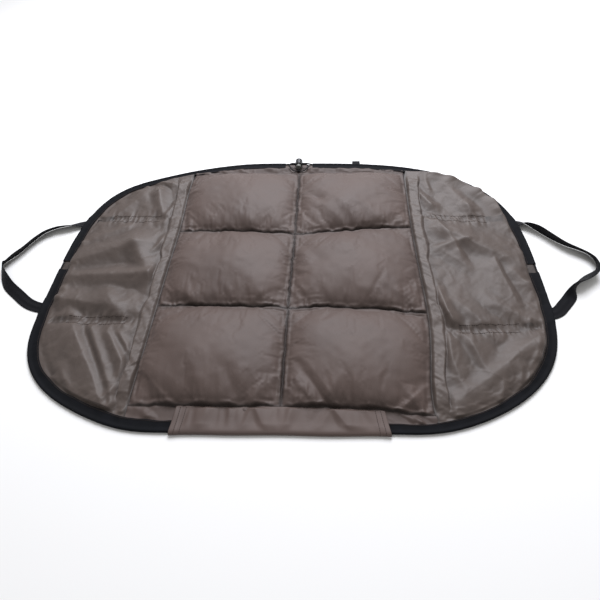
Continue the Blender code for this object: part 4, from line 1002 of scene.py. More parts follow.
def rim_distance(x, y):
    """How far each point lies in from the mat's edge."""
    rim = RIM.points[::12]
    flat = np.column_stack([x.ravel(), y.ravel()])
    nearest = np.full(len(flat), 1.0)
    for chunk in np.array_split(rim, 12):
        away = np.hypot(flat[:, :1] - chunk[:, 0], flat[:, 1:] - chunk[:, 1])
        nearest = np.minimum(nearest, away.min(axis=1))
    inside = np.abs(y) < np.where(y > 0, RIM.end_y("back", x, 0.0), -RIM.end_y("front", x, 0.0))
    inside &= x < MAT_HALF_WIDTH
    return np.where(inside, nearest.reshape(x.shape), 0.0)


def wing_wrinkles(side):
    """Wrinkles of a wing's settled cloth on an even grid: its height less the same height evened out."""
    columns = round((MAT_HALF_WIDTH - SEAM_X) / WING_STEP) + 1
    rows = round((MAT_FRONT + MAT_BACK) / WING_STEP) + 1
    x, y = np.meshgrid(np.linspace(SEAM_X, MAT_HALF_WIDTH, columns), np.linspace(-MAT_FRONT, MAT_BACK, rows))
    from_rim = rim_distance(x, y)
    inner = smooth_step((from_rim - HELD_INSET) / (18 * MM))
    flat = np.stack([x, y, np.zeros_like(x)], axis=-1)
    channels = channel_nearness(x, y, GUIDE_REACH)
    guide = fold_heights(x, y, WING_FOLDS[side]) * inner * (1 - 0.9 * channels)
    pinned = (from_rim < HELD_INSET) | (x < SEAM_X + WING_STEP / 2)
    gathered = channel_nearness(x, y, GATHER_REACH)
    start = guide + inner * MM * rumple(x, y, 16 * MM, 40 + side)
    settled = settled_cloth(flat, pinned, WING_PRESSURE, sizes().wing_excess, WING_FRAMES, start, stiffness=8.0,
                            bending=0.05, excess_field=gathered)
    return settled[..., 2] - blurred(settled[..., 2], WING_BLUR_ROUNDS)


def fan(start_x, rows, columns, reach, crowding=0.0):
    """Places in plan, in rows that run from a line of constant x out to the rim. Gives x, y and the rim's places.

    The reach is how much further the rim goes out in the side's opening, and the crowding how much closer the rows lie
    at both ends of their line.
    """
    share, across = np.linspace(0.0, 1.0, rows)[:, None], np.linspace(0.0, 1.0, columns)[None, :]
    ends = [float(RIM.end_y(part, start_x, CLOTH_EDGE_INSET)) for part in ("front", "back")]
    arcs = [RIM.cut(part, start_x, CLOTH_EDGE_INSET) for part in ("front", "back")]
    inner_y = ends[0] + (smooth_step(share) * crowding + share * (1 - crowding)) * (ends[1] - ends[0])
    arc = arcs[0] + share * (arcs[1] - arcs[0])
    rim = RIM.at(arc, CLOTH_EDGE_INSET - reach * opened(RIM.at(arc, 0.0)[..., 1], SIDE_OPENING))
    return start_x + across * (rim[..., 0] - start_x), inner_y + across * (rim[..., 1] - inner_y), rim


def wing_relief(side, x, y, from_rim, wrinkles):
    """The wing cloth's height: folds seen in the photograph, pleat, wrinkles, and gathers on the channels and hem."""
    loose = smooth_step((from_rim - TAPE_HOLD) / TAPE_HOLD_FADE)
    beside = smooth_step((x - SEAM_X - PLEAT_HOLD) / PLEAT_HOLD_FADE)
    on_channel, near_channel = channel_nearness(x, y, RUCHE_REACH), channel_nearness(x, y, CHANNEL_REACH)
    kept = 1 - NEAR_CHANNEL_LOSS * near_channel - ON_CHANNEL_LOSS * on_channel
    z = WING_FOLD_SHARE * fold_heights(x, y, WING_FOLDS[side]) * beside * kept
    z = (z**3 + pleat_heights(x, y) ** 3) ** (1 / 3) + WING_WRINKLE_SHARE * wrinkles
    ruche = rumple(x + 0.35 * (y - CHANNEL_Y), y * 0.25, 3.4 * MM, 80 + side)
    beside_ruche = rumple(x, y * 0.3, 7 * MM, 84 + side)
    z += RUCHE * np.maximum(ruche, -0.8) * on_channel + BESIDE_RUCHE * beside_ruche * near_channel
    z += CREASE * (creases(x, y, 34 * MM, 60 + side) - 0.55) + FINE_RUMPLE * rumple(x, y, 7 * MM, 70 + side)
    hem_puckers = rumple(np.arctan2(y, x) * 0.4, 0 * x, 11 * MM, 90 + side)
    by_hem = np.exp(-(((from_rim - HEM_PUCKER_INSET) / HEM_PUCKER_REACH) ** 2))
    z += HEM_PUCKER * np.maximum(hem_puckers, -0.4) * by_hem
    return np.maximum(z, WING_LOWEST) * loose * smooth_step((x - SEAM_X) / SEAM_FADE)


def roll_heights(side, x, y, inset):
    """How high the cloth rolls up beside the tape: a steep rise at the tape that falls away inwards."""
    roll = np.zeros_like(x)
    for middle_x, middle_y, half_length, height in WING_ROLLS[side]:
        away = np.hypot(x / MM - middle_x, y / MM - middle_y) / half_length
        roll = np.maximum(roll, height * MM * smooth_step(1.25 - away))
    profile = smooth_step(inset / ROLL_RISE + 0.35) * np.exp(-np.maximum(inset - ROLL_TOP, 0.0) / ROLL_FALL)
    return roll * profile * (1 + 0.15 * rumple(x, y, 22 * MM, 95 + side))


def wing_painted_shade(x, y, height, from_rim):
    """How dark the wing's cloth is painted: painted shade in its hollows, at its seam and in the side's mouth, and
    darker patches at the channels' ends.
    """
    # Painted shade where the cloth lies below its evened-out height
    depth = np.clip((blurred(height, HOLLOW_ROUNDS) - height) / HOLLOW_DEPTH, 0.0, HOLLOW_MOST)
    depth = depth * smooth_step((x - SEAM_X - 16 * MM) / (10 * MM))
    for sign in (1, -1):
        patch = smooth_step((x - PATCH_START) / PATCH_FADE) * smooth_step((PATCH_END - x) / PATCH_FADE)
        patch = patch * smooth_step((CHANNEL_HALF_WIDTH - np.abs(y - sign * CHANNEL_Y)) / PATCH_FADE)
        depth = np.maximum(depth, PATCH_DARKNESS * patch * (1 + 0.25 * rumple(x, y, 8 * MM, 97)))
    # Painted shade along the seam at the panel
    depth = np.maximum(depth, SEAM_PAINTED_SHADE * np.exp(-(((x - SEAM_X) / (4 * MM)) ** 2)))
    # Painted shade inside the side's opening of the binding
    mouth = opened(y, SIDE_OPENING) * smooth_step((TAPE_WIDTH + 3 * MM - from_rim) / (4 * MM)) * (x > WING_HINGE_X)
    return np.maximum(depth, mouth * (0.8 + 0.2 * rumple(x, y, 4 * MM, 99)))


def wing_cloth_points(side):
    """The right-hand form of a wing's cloth with all its folds, its UV map, and its painted shade in hollows and other
    shaded places.
    """
    wrinkles = wing_wrinkles(side)
    rows, columns = wrinkles.shape
    x, y, rim = fan(SEAM_X, WING_ROWS, WING_COLUMNS, CLOTH_REACH, WING_CROWDING)
    down = (y + MAT_FRONT) / (MAT_FRONT + MAT_BACK) * (rows - 1)
    over = (x - SEAM_X) / (MAT_HALF_WIDTH - SEAM_X) * (columns - 1)
    from_rim = rim_distance(x, y)
    inset = from_rim - TAPE_WIDTH
    z, rolled = wing_relief(side, x, y, from_rim, read_grid(wrinkles, down, over)), roll_heights(side, x, y, inset)
    z = (np.maximum(z, 0.0) ** 2 + rolled**2) ** 0.5 + np.minimum(z, 0.0)
    plan = np.stack([x, y], axis=-1)
    toward = rim - plan
    toward = toward / np.maximum(np.linalg.norm(toward, axis=-1), 1 * MM)[..., None]
    overhang = ROLL_OVERHANG_SHARE * rolled * smooth_step(1.4 - inset / (20 * MM))
    points = np.concatenate([plan + toward * overhang[..., None], (WING_TOP + z)[..., None]], axis=-1)
    return points, plan, wing_painted_shade(x, y, points[..., 2], from_rim)


def make_wing_cloth(side):
    """One wing's cloth, from its seam at the panel over the pleat to the binding."""
    label = side_name(side)
    points, uv, depth = wing_cloth_points(side)
    cloth = make_piece("wing_cloth_" + label, as_laid(mirrored(points, side)), uv, wing_cloth(), flip=side < 0)
    # Painted shade for the material to darken by
    add_painted_shade(cloth, depth)
    thicken(cloth, CLOTH_THICK)
    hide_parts("pleat_" + label, "wing_cover_" + label, "elastic_back_" + label, "elastic_front_" + label)
    blend_wing(cloth)
    inside = (uv[..., 0] > CHANNEL_START) & (uv[..., 0] < min(CHANNEL_ENDS.values()))
    paths = []
    for sign in (1, -1):
        for offset in (-CHANNEL_HALF_WIDTH, CHANNEL_HALF_WIDTH):
            row = np.abs(uv[..., 1] - sign * CHANNEL_Y - offset).argmin(axis=0)
            along = inside[row, np.arange(len(row))]
            paths.append(as_laid(mirrored(points[row, np.arange(len(row))][along], side)))
    seams = make_stitches("channel_stitches_" + label, paths)
    blend_wing(seams)


def blend_wing(piece):
    """Bakes a piece's place into its mesh."""
    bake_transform(piece)


# The ground sheet
SHEET_SPLIT_X = FOLD_START_X - 6.0 * MM
SHEET_ROWS, SHEET_COLUMNS = 60, 110
WING_SHEET_ROWS, WING_SHEET_COLUMNS = 400, 70


def make_ground_sheets():
    """The coated sheet under everything: the middle on the panel, and one side piece under each wing."""
    share = np.linspace(0.0, 1.0, SHEET_ROWS)
    x = np.linspace(-SHEET_SPLIT_X, SHEET_SPLIT_X, SHEET_COLUMNS)
    low, high = RIM.end_y("front", np.abs(x), CLOTH_EDGE_INSET), RIM.end_y("back", np.abs(x), CLOTH_EDGE_INSET)
    high = high + SHEET_REACH * opened(x, BACK_OPENING)
    y = low + share[:, None] * (high - low)
    xs = np.broadcast_to(x, y.shape)
    points = np.stack([xs, y, np.full_like(y, SHEET_TOP)], axis=-1)
    ground = shared_material("coated_nylon", coated_nylon, colours().ground_nylon)
    middle = make_piece("ground_cloth_middle", as_laid(points), points[..., :2], ground)
    thicken(middle, SHEET_TOP)
    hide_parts("ground_sheet")
    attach(middle, "panel")
    for side in (1, -1):
        label = side_name(side)
        xs, ys, _ = fan(SHEET_SPLIT_X, WING_SHEET_ROWS, WING_SHEET_COLUMNS, SHEET_REACH)
        points = np.stack([xs, ys, np.full_like(xs, SHEET_TOP)], axis=-1)
        wing = make_piece("ground_cloth_wing_" + label, as_laid(mirrored(points, side)), points[..., :2], ground,
                          flip=side < 0)
        thicken(wing, SHEET_TOP)
        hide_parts("wing_sheet_" + label)
        blend_wing(wing)


# The binding and its cord: step along the tape, steps round its fold, and the way round its section
TAPE_STEP = 2.0 * MM
BEAD_STEPS = 12
TAPE_ROUND = 0.06
STITCH_LEVEL = 3.55 * MM
# How far from the webbing's edge the binding starts to lift over a handle, and over what length it comes down again
LIFT_MARGIN = 1.2 * MM
LIFT_FADE = 16.0 * MM


def handle_rise(y, inset):
    """How far the binding is lifted where a handle's webbing passes under it."""
    rise = np.zeros_like(y)
    for middle in (HANDLE_BACK_Y, HANDLE_FRONT_Y):
        past = np.abs(y - middle) - WEB_WIDTH / 2 - LIFT_MARGIN
        rise = np.maximum(rise, smooth_step(1 - past / LIFT_FADE))
    fade = np.clip((TAPE_WIDTH - inset) / (TAPE_WIDTH - CLOTH_EDGE_INSET), 0.0, 1.0)
    return HANDLE_LIFT * rise * fade


def tape_section():
    """The folded tape in section, as (inset, height): round the cord, in along the top, and back underneath."""
    turn = np.radians(np.linspace(-90, 115, BEAD_STEPS))
    outer = np.column_stack([BEAD_RADIUS * (1 - np.cos(turn)), BEAD_RADIUS * (1 + np.sin(turn))])
    inner = BEAD_RADIUS + BEAD_INNER_RADIUS * np.column_stack([-np.cos(turn), np.sin(turn)])
    top = np.array([(7.0, 4.3), (8.6, 3.75), (11.0, 3.55), (14.0, 3.5), (17.0, 3.5), (19.8, 3.5), (20.4, 3.3)]) * MM
    below = np.array([(20.4, 2.9), (17.0, 2.8), (12.0, 2.8), (9.0, 3.0), (7.4, 3.5)]) * MM
    lower = np.array([(TAPE_LOWER_WIDTH, TAPE_THICK), (TAPE_LOWER_WIDTH, 0.0)])
    return np.concatenate([outer, top, below, inner[::-1], lower])


def taped_points(arc, inset, height, seed):
    """Points of the tape at arc lengths, insets and heights, with its waves along the edge."""
    wide = smooth_step((inset - 8 * MM) / (12 * MM))
    wander = 0.7 * MM * rumple(arc, 0.0 * arc, 26 * MM, seed) * wide
    plan = RIM.at(arc, inset + wander)
    lift = handle_rise(plan[..., 1], inset)
    ripple = wide * MM * (0.5 * rumple(arc, 0.0 * arc, 12 * MM, seed + 1) + 0.35)
    bead = 0.12 * MM * rumple(arc, 0.0 * arc, 7 * MM, seed + 2) * (height > 1 * MM)
    z = height + lift + np.maximum(ripple, -0.2 * MM) + bead
    return np.concatenate([plan, z[..., None]], axis=-1)


def make_binding(name, start, end, side, seed):
    """One length of tape folded over the edge, between two arc lengths of the outline."""
    arc = np.linspace(start, end, int((end - start) / TAPE_STEP) + 1)[:, None]
    section = tape_section()
    points = taped_points(arc, section[None, :, 0], section[None, :, 1], seed)
    uv = uv_grid(arc[:, 0], np.append(arc_lengths(section), TAPE_ROUND))
    tape = make_piece(name, as_laid(mirrored(points, side)), uv, tape_cloth(), wrap=True, caps=True, flip=side > 0)
    row = taped_points(arc, np.array([[STITCH_INSET]]), np.array([[STITCH_LEVEL]]), seed)[1:-1, 0]
    blend_wing(make_stitches("stitches_" + name, [as_laid(mirrored(row, side))]))
    return tape


def make_bindings():
    """Four lengths of tape: from the front middle and from the lock's opening to each side's opening."""
    for side in (1, -1):
        label = side_name(side)
        front = make_binding("tape_front_" + label, 0.0, RIM.cut("side", -SIDE_OPENING / 2), side, 100 + side)
        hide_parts("binding_front", "binding_wing_front_" + label)
        blend_wing(front)
        back_end = RIM.cut("back", BACK_OPENING / 2)
        back = make_binding("tape_back_" + label, RIM.cut("side", SIDE_OPENING / 2), back_end, side, 110 + side)
        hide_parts("binding_back_" + label, "binding_wing_back_" + label)
        blend_wing(back)


# Shares of the way that a cord's tail takes into the lock, and from the lock to the knot, in plan and height
CORD_IN_SHARES = ((0.45, 0.15, 0.30), (0.80, 0.70, 0.80))
CORD_OUT_SHARES = ((1.15, 0.09, 0.97), (1.29, 0.37, 0.72), (0.80, 0.84, 0.25), (0.45, 0.97, 0.05))
# The two tails' distance in height, how far the lock slides, and the cross hole's place in it
CORD_PITCH = 3.5 * MM
LOCK_TRAVEL = 4.0 * MM
CORD_HOLE_FROM_FRONT = 7.0 * MM
CORD_SIDES = 12
CORD_STEP = 1.2 * MM
BEAD_LINE_STEP = 4.0 * MM
STRAIGHT_STEPS = 3
KNOT_STEPS = 90
KNOT_CORD_RADIUS = 1.3 * MM
KNOT_INSET = 1.1 * MM
SPRING_WIRE = 0.25 * MM
SPRING_TURNS = 3
SPRING_SIDES = 8
SPRING_STEPS_A_TURN = 36


def smooth_route(points, steps_each):
    """Points of a Catmull-Rom curve through the route's own points."""
    points = np.asarray(points, float)
    padded = np.vstack([2 * points[0] - points[1], points, 2 * points[-1] - points[-2]])
    place = np.linspace(1.0, len(points), (len(points) - 1) * steps_each + 1)
    total = 0.0
    for offset, weight in curve_weights(place):
        index = np.clip(np.floor(place).astype(int) + offset, 0, len(padded) - 1)
        total = total + padded[index] * weight[:, None]
    return total


def even_steps(path, step):
    """A path's points again, evenly spaced along it."""
    walked = arc_lengths(path)
    at = np.linspace(0.0, walked[-1], max(int(walked[-1] / step), 2) + 1)
    return np.column_stack([np.interp(at, walked, path[:, axis]) for axis in range(3)]), at


def tube_points(path, radius, sides=CORD_SIDES, up=(0.0, 0.0, 1.0)):
    """Rings round a path: each square to it, with its first point square to the up direction."""
    ahead = np.gradient(path, axis=0)
    ahead /= np.linalg.norm(ahead, axis=1)[:, None]
    aside = np.cross(ahead, up)
    aside /= np.maximum(np.linalg.norm(aside, axis=1), 1e-6)[:, None]
    above = np.cross(aside, ahead)
    turn = 2 * np.pi * np.arange(sides) / sides
    ring = np.cos(turn)[None, :, None] * aside[:, None] + np.sin(turn)[None, :, None] * above[:, None]
    return path[:, None] + radius * ring


def make_cord(name, path, side):
    """A length of braided cord along a path, closed at both ends."""
    path, walked = even_steps(path, CORD_STEP)
    uv = uv_grid(walked, np.linspace(0.0, 2 * np.pi * CORD_RADIUS, CORD_SIDES + 1))
    points = mirrored(tube_points(path, CORD_RADIUS), side)
    from_lock = smooth_step((np.abs(points[..., :1]) - CORD_FREE_X) / CORD_FREE_FADE)
    points = points + np.maximum(from_lock, points[..., 1:2] < 0) * (as_laid(points) - points)
    cord = make_piece(name, points, uv, cord_braid(), wrap=True, caps=True, flip=side < 0)
    return cord


def bead_line(start, end):
    """The drawcord's middle line inside the binding's fold."""
    arc = np.linspace(start, end, int((end - start) / BEAD_LINE_STEP) + 1)
    plan = RIM.at(arc, BEAD_RADIUS)
    height = BEAD_RADIUS + handle_rise(plan[:, 1], np.full(len(arc), BEAD_RADIUS))
    return np.column_stack([plan, height])


def tail_route(start, level):
    """A cord's way from the binding's mouth through the lock's cross hole, round the button and to the knot."""
    lock_radius = (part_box("lock_body")[1].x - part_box("lock_body")[0].x) / 2
    straight = lock_radius + LOCK_TRAVEL
    step = straight / STRAIGHT_STEPS
    lock_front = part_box("lock_body")[0].y
    knot_end = (KNOT_HIGH.x - KNOT_LOW.x) / 2
    knot_middle = (KNOT_LOW + KNOT_HIGH) / 2
    hole = np.array([straight + step, lock_front + CORD_HOLE_FROM_FRONT, level])
    knot = np.array([knot_end, knot_middle.y, knot_middle.z])
    route = [start]
    for shares in CORD_IN_SHARES:
        route.append(start + np.array(shares) * (hole - start))
    route += [hole * (share, 1, 1) for share in np.linspace(1.0, -1.0, 2 * STRAIGHT_STEPS + 3)]
    for out, down_y, level_share in CORD_OUT_SHARES:
        x = knot_end + out * (straight + 4 * CORD_RADIUS - knot_end)
        route.append((-x, hole[1] + down_y * (knot[1] - hole[1]), knot[2] + level_share * (level - knot[2])))
    route.append(knot * (-1, 1, 1))
    return smooth_route(route, 8)


def make_cords():
    """The drawcord in four lengths, two of which end in the knot, and the knot."""
    for side in (1, -1):
        label = side_name(side)
        front = make_cord("cord_front_" + label, bead_line(0.0, RIM.cut("side", 0.0)), side)
        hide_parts("drawcord_front", "drawcord_wing_" + label)
        blend_wing(front)
        inside = bead_line(RIM.cut("side", 0.0), RIM.cut("back", BACK_OPENING / 2, BEAD_RADIUS))
        tail = tail_route(inside[-1], LOCK_MIDDLE.z + side * CORD_PITCH / 2)
        back = make_cord("cord_back_" + label, np.vstack([inside[:-1], tail]), side)
        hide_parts("drawcord_back_" + label)
        blend_wing(back)
    make_knot()


def make_knot():
    """The tails' knot: a trefoil of cord, (sin t + 2 sin 2t, cos t - 2 cos 2t, -sin 3t), in the knot's box."""
    turn = np.linspace(0.0, 2 * np.pi, KNOT_STEPS)
    middle = np.array((KNOT_LOW + KNOT_HIGH) / 2)
    half = np.array((KNOT_HIGH - KNOT_LOW) / 2)
    across, along = np.sin(turn) + 2 * np.sin(2 * turn), np.cos(turn) - 2 * np.cos(2 * turn)
    loops = np.column_stack([across, along, -np.sin(3 * turn)])
    points = tube_points(middle + loops / (3, 3, 1) * (half - KNOT_INSET), KNOT_CORD_RADIUS)
    uv = uv_grid(turn * 3 * MM, np.linspace(0, 8 * MM, CORD_SIDES + 1))
    knot = make_piece("cord_knot", points, uv, cord_braid(), wrap=True, caps=True)
    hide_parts("drawcord_knot")
    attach(knot, "panel")


# Handles: place in plan on the way from the back end to the front end, in millimetres, and the roll in degrees
HANDLE_ROUTES = {
    1: (
        ((450, 138), 0), ((500, 138), 0), ((518, 137), -19), ((530, 134), -43), ((545, 122), -63), ((558, 109), -72),
        ((576, 88), -69), ((598, 67), -59), ((620, 53), -52), ((638, 40), -49), ((646, 21), -59), ((643, 0), -81),
        ((634, -14), -119), ((618, -26), -131), ((599, -40), -120), ((590, -48), -100), ((581, -57), -65),
        ((568, -76), -8), ((550, -96), -3), ((534, -111), 0), ((510, -118), 0), ((450, -118), 0),
    ),
    -1: (
        ((450, 138), 0), ((500, 138), 0), ((524, 133), -14), ((538, 129), -32), ((552, 124), -42), ((566, 120), -46),
        ((578, 116), -47), ((601, 101), -48), ((618, 75), -51), ((631, 45), -54), ((643, 24), -56), ((656, 4), -48),
        ((657, -7), -58), ((649, -24), -57), ((635, -44), -35), ((618, -63), -18), ((590, -84), -8), ((560, -105), 0),
        ((532, -116), 0), ((505, -118), 0), ((450, -118), 0),
    ),
}
# Step along a strap, and the length once round its section in its UV map
STRAP_STEP = 2.5 * MM
STRAP_ROUND = 0.052
# Points round a strap's section, as shares of its half-width and half-thickness: its woven edges are a little thicker
STRAP_SECTION_SHARES = (
    (-1.0, 0.0), (-0.97, 0.8), (-0.9, 1.0), (-0.45, 0.92), (0.0, 0.9), (0.45, 0.92), (0.9, 1.0), (0.97, 0.8),
    (1.0, 0.0), (0.97, -0.8), (0.9, -1.0), (0.45, -0.92), (0.0, -0.9), (-0.45, -0.92), (-0.9, -1.0), (-0.97, -0.8),
)


def strap_grid(middle, walked, across, face, half_width, half_thick, way_round):
    """A strap's rings and UV map: its section set out across it and square to its face at each step."""
    section = np.array(STRAP_SECTION_SHARES) * (half_width, half_thick)
    points = middle[:, None] + across[:, None] * section[None, :, :1] + face[:, None] * section[None, :, 1:]
    return points, uv_grid(walked, np.append(arc_lengths(section), way_round))


def make_handle(side):
    """A handle: one strap of webbing whose flat ends are sewn under the wing, twisting up on edge round its bend."""
    label = side_name(side)
    stations = HANDLE_ROUTES[side]
    plan = np.array([place for place, _ in stations], float) * MM
    roll = np.radians([turn for _, turn in stations])
    route = smooth_route(np.column_stack([plan, roll]), 14)
    path, walked = even_steps_plan(route, STRAP_STEP)
    roll = path[:, 2]
    width, deep = sizes().handle_width / 2, WEB_THICK / 2
    level = np.abs(np.sin(roll)) * width + np.abs(np.cos(roll)) * deep
    middle = np.column_stack([path[:, :2], level])
    ahead = np.gradient(path[:, :2], axis=0)
    ahead /= np.linalg.norm(ahead, axis=1)[:, None]
    aside = np.column_stack([-ahead[:, 1], ahead[:, 0], np.zeros(len(ahead))])
    above = np.array([[0.0, 0.0, 1.0]])
    across = aside * np.cos(roll)[:, None] + above * np.sin(roll)[:, None]
    face = above * np.cos(roll)[:, None] - aside * np.sin(roll)[:, None]
    points, uv = strap_grid(middle, walked, across, face, width, deep, STRAP_ROUND)
    strap = make_piece("handle_strap_" + label, mirrored(points, side), uv, handle_webbing(), wrap=True, caps=True,
                       flip=side > 0)
    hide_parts("handle_" + label, "handle_end_back_" + label, "handle_end_front_" + label)
    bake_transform(strap)


def even_steps_plan(route, step):
    """A route in plan with its roll, again at even steps along the plan."""
    walked = arc_lengths(route[:, :2])
    at = np.linspace(0.0, walked[-1], int(walked[-1] / step) + 1)
    return np.column_stack([np.interp(at, walked, route[:, axis]) for axis in range(3)]), at


# The front flap
FLAP_COLUMNS = 260
FLAP_ROWS = 70
HEM_WIDTH = 9.0 * MM
# Folds of the flap, seen in the photograph, set out like the cover's
FLAP_FOLDS = (
    ((-45, -332, -20, -378), (5.4, 3.0), (9, 24)), ((-48, -332, -66, -374), (3.4, 1.8), (16, 9)),
    ((92, -330, 124, -376), (6.0, 3.4), (9, 28)), ((90, -330, 70, -366), (3.6, 1.4), (12, 10)),
    ((20, -334, 6, -376), (3.0, 2.0), (12, 12)), ((-128, -332, -138, -370), (3.8, 2.0), (18, 22)),
    ((152, -332, 166, -366), (3.2, 1.4), (14, 16)), ((58, -332, 50, -352), (2.6, 0.8), (10, 10)),
    ((-90, -332, -86, -352), (2.6, 0.8), (9, 10)),
)


def make_flap():
    """The flap: from the panel's front seam over the binding and down in front of it, with hemmed sides."""
    share = np.linspace(0.0, 1.0, FLAP_ROWS)[:, None]
    across = np.linspace(-1.0, 1.0, FLAP_COLUMNS)[None, :]
    back = -PANEL_END - 0.6 * MM
    bead_top = 2 * BEAD_RADIUS + 1.7 * MM
    corners = np.array([
        (back, 3.0 * MM), (back - 12 * MM, 4.2 * MM), (back - 28 * MM, 5.4 * MM), (FLAP_LIP + 9 * MM, bead_top),
        (FLAP_LIP + 3.5 * MM, bead_top - 0.5 * MM), (FLAP_LIP + 0.9 * MM, bead_top - 2.4 * MM),
        (FLAP_LIP + 0.4 * MM, 2.6 * MM), (FLAP_LIP + 0.5 * MM, 0.7 * MM),
    ])
    route = smooth_route(np.column_stack([np.zeros(len(corners)), corners]), 8)
    path, walked = even_steps(route, route_length(route) / (FLAP_ROWS - 1))
    path, walked = path[:FLAP_ROWS], walked[:FLAP_ROWS]
    x = across * FLAP_HALF_WIDTH * (1 + 0.02 * share)
    x, y = np.broadcast_arrays(x, path[:, 1][:, None])
    top = smooth_step(share / 0.10) * smooth_step((0.84 - share) / 0.25)
    small = rumple(x, 0.3 * y, 8 * MM, 132) * (1.1 - share)
    folds = fold_heights(x, y, FLAP_FOLDS) + 0.6 * MM * np.maximum(small, -0.6)
    folds = folds + 0.7 * MM * rumple(x, 0.3 * y, 34 * MM, 133)
    hem = smooth_step((FLAP_HALF_WIDTH - HEM_WIDTH - np.abs(x)) / (1.5 * MM))
    z = path[:, 2][:, None] + np.maximum(folds, -0.35 * MM) * top + 0.5 * MM * (1 - hem)
    points = np.stack([x, y - 0.2 * MM * (1 - hem) * (share > 0.8), z], axis=-1)
    uv = np.stack([x, np.broadcast_to(-walked[:, None], x.shape)], axis=-1)
    flap = make_piece("flap_cloth", as_laid(points[::-1]), uv[::-1], panel_cloth())
    thicken(flap, CLOTH_THICK)
    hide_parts("flap")
    shares = [sign * (1 - inset / FLAP_HALF_WIDTH) for sign in (1, -1) for inset in (HEM_WIDTH, 2 * HEM_WIDTH)]
    edges = [round((1 + share_out) / 2 * (FLAP_COLUMNS - 1)) for share_out in shares]
    hems = make_stitches("flap_stitches", [as_laid(points[2:-4, column]) for column in edges])
    for piece in (flap, hems):
        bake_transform(piece)


def route_length(route):
    return float(np.linalg.norm(np.diff(route, axis=0), axis=1).sum())


# The loop of webbing on the back edge
LOOP_STEPS = 40
LOOP_STEP = 0.8 * MM
LOOP_HALF_THICK = 0.5 * MM
LOOP_INSET = 0.3 * MM


def make_back_loop():
    """A short length of narrow webbing folded over on itself and sewn at the edge."""
    low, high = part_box("back_loop")
    thick = LOOP_HALF_THICK
    rise = (high.z - low.z) / 2 - thick
    middle_z = (high.z + low.z) / 2
    fold_y = high.y - thick - rise
    start_y = low.y + LOOP_INSET
    turn = np.radians(np.linspace(-90, 90, LOOP_STEPS))
    bend = np.column_stack([fold_y + rise * np.cos(turn), middle_z + rise * np.sin(turn)])
    path = np.vstack([(start_y, middle_z - rise), bend, (start_y, middle_z + rise)])
    path, walked = even_steps(np.column_stack([np.zeros(len(path)), path]), LOOP_STEP)
    ahead = np.gradient(path, axis=0)
    ahead /= np.linalg.norm(ahead, axis=1)[:, None]
    face = np.cross(ahead, (1.0, 0.0, 0.0))
    middle = path + np.array([(low.x + high.x) / 2, 0.0, 0.0])
    wide = high.x - low.x
    points, uv = strap_grid(middle, walked, np.array([[1.0, 0.0, 0.0]]), face, wide / 2, thick, 2 * wide)
    loop = make_piece("edge_loop", points, uv, handle_webbing(), wrap=True, caps=True)
    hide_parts("back_loop")
    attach(loop, "panel")


def make_spring():
    """The button's return spring: a coil of wire in the spring's box."""
    low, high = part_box("lock_spring")
    radius = (high.x - low.x) / 2 - SPRING_WIRE
    share = np.linspace(0.0, 1.0, SPRING_TURNS * SPRING_STEPS_A_TURN + 1)
    turn = 2 * np.pi * SPRING_TURNS * share
    along = low.y + SPRING_WIRE + share * (high.y - low.y - 2 * SPRING_WIRE)
    path = np.column_stack([radius * np.cos(turn), along, LOCK_MIDDLE.z + radius * np.sin(turn)])
    points = tube_points(path, SPRING_WIRE, sides=SPRING_SIDES, up=(0.0, 1.0, 0.0))
    uv = uv_grid(turn * radius, np.linspace(0, 2 * np.pi * SPRING_WIRE, SPRING_SIDES + 1))
    coil = make_piece("spring_coil", points, uv, shared_material("spring_wire", spring_wire), wrap=True, caps=True)
    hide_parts("lock_spring")
    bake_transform(coil)


def finish_lock():
    """The lock's body and button keep their shapes and get their moulded finishes, and the spring is coiled afresh."""
    make_spring()
    finishes = {
        "lock_body": shared_material("black_acetal", moulded_acetal, "#17171a", 0.38),
        "lock_button": shared_material("grey_acetal", moulded_acetal, colours().button, 0.45),
    }
    for name, finish in finishes.items():
        for slot in frame["nodes"][name].material_slots:
            slot.material = finish


# Camera as fitted to the photograph: place, angles in degrees and focal length in millimetres
CAMERA_PLACE = (0.078, -0.627, 0.720)
CAMERA_DOWN = 53.05
CAMERA_YAW = -5.83
CAMERA_ROLL = -4.0
CAMERA_LENS = 25.98
SENSOR_WIDTH = 36.0

# The stage: the floor lies just under the mat, and one soft light stands behind it
FLOOR_HALF_WIDTH = 6.0
FLOOR_DROP = 0.4 * MM
STUDIO_BRIGHTNESS = 0.42
SOFTBOX_PLACE = (0.15, 1.45, 1.75)
SOFTBOX_SIZE = 1.5
SOFTBOX_POWER = 84.0


def make_camera():
    down, yaw, roll = (math.radians(angle) for angle in (CAMERA_DOWN, CAMERA_YAW, CAMERA_ROLL))
    ahead = Vector((math.sin(yaw) * math.cos(down), math.cos(yaw) * math.cos(down), -math.sin(down)))
    right = Vector((math.cos(yaw), -math.sin(yaw), 0.0))
    up = right.cross(ahead)
    right, up = right * math.cos(roll) + up * math.sin(roll), up * math.cos(roll) - right * math.sin(roll)
    data = bpy.data.cameras.new("camera")
    data.lens = CAMERA_LENS
    data.sensor_width = SENSOR_WIDTH
    data.clip_start = 0.01
    camera = bpy.data.objects.new("camera", data)
    turned = Matrix((right, up, -ahead)).transposed().to_4x4()
    camera.matrix_world = Matrix.Translation(CAMERA_PLACE) @ turned
    bpy.context.scene.collection.objects.link(camera)
    bpy.context.scene.camera = camera


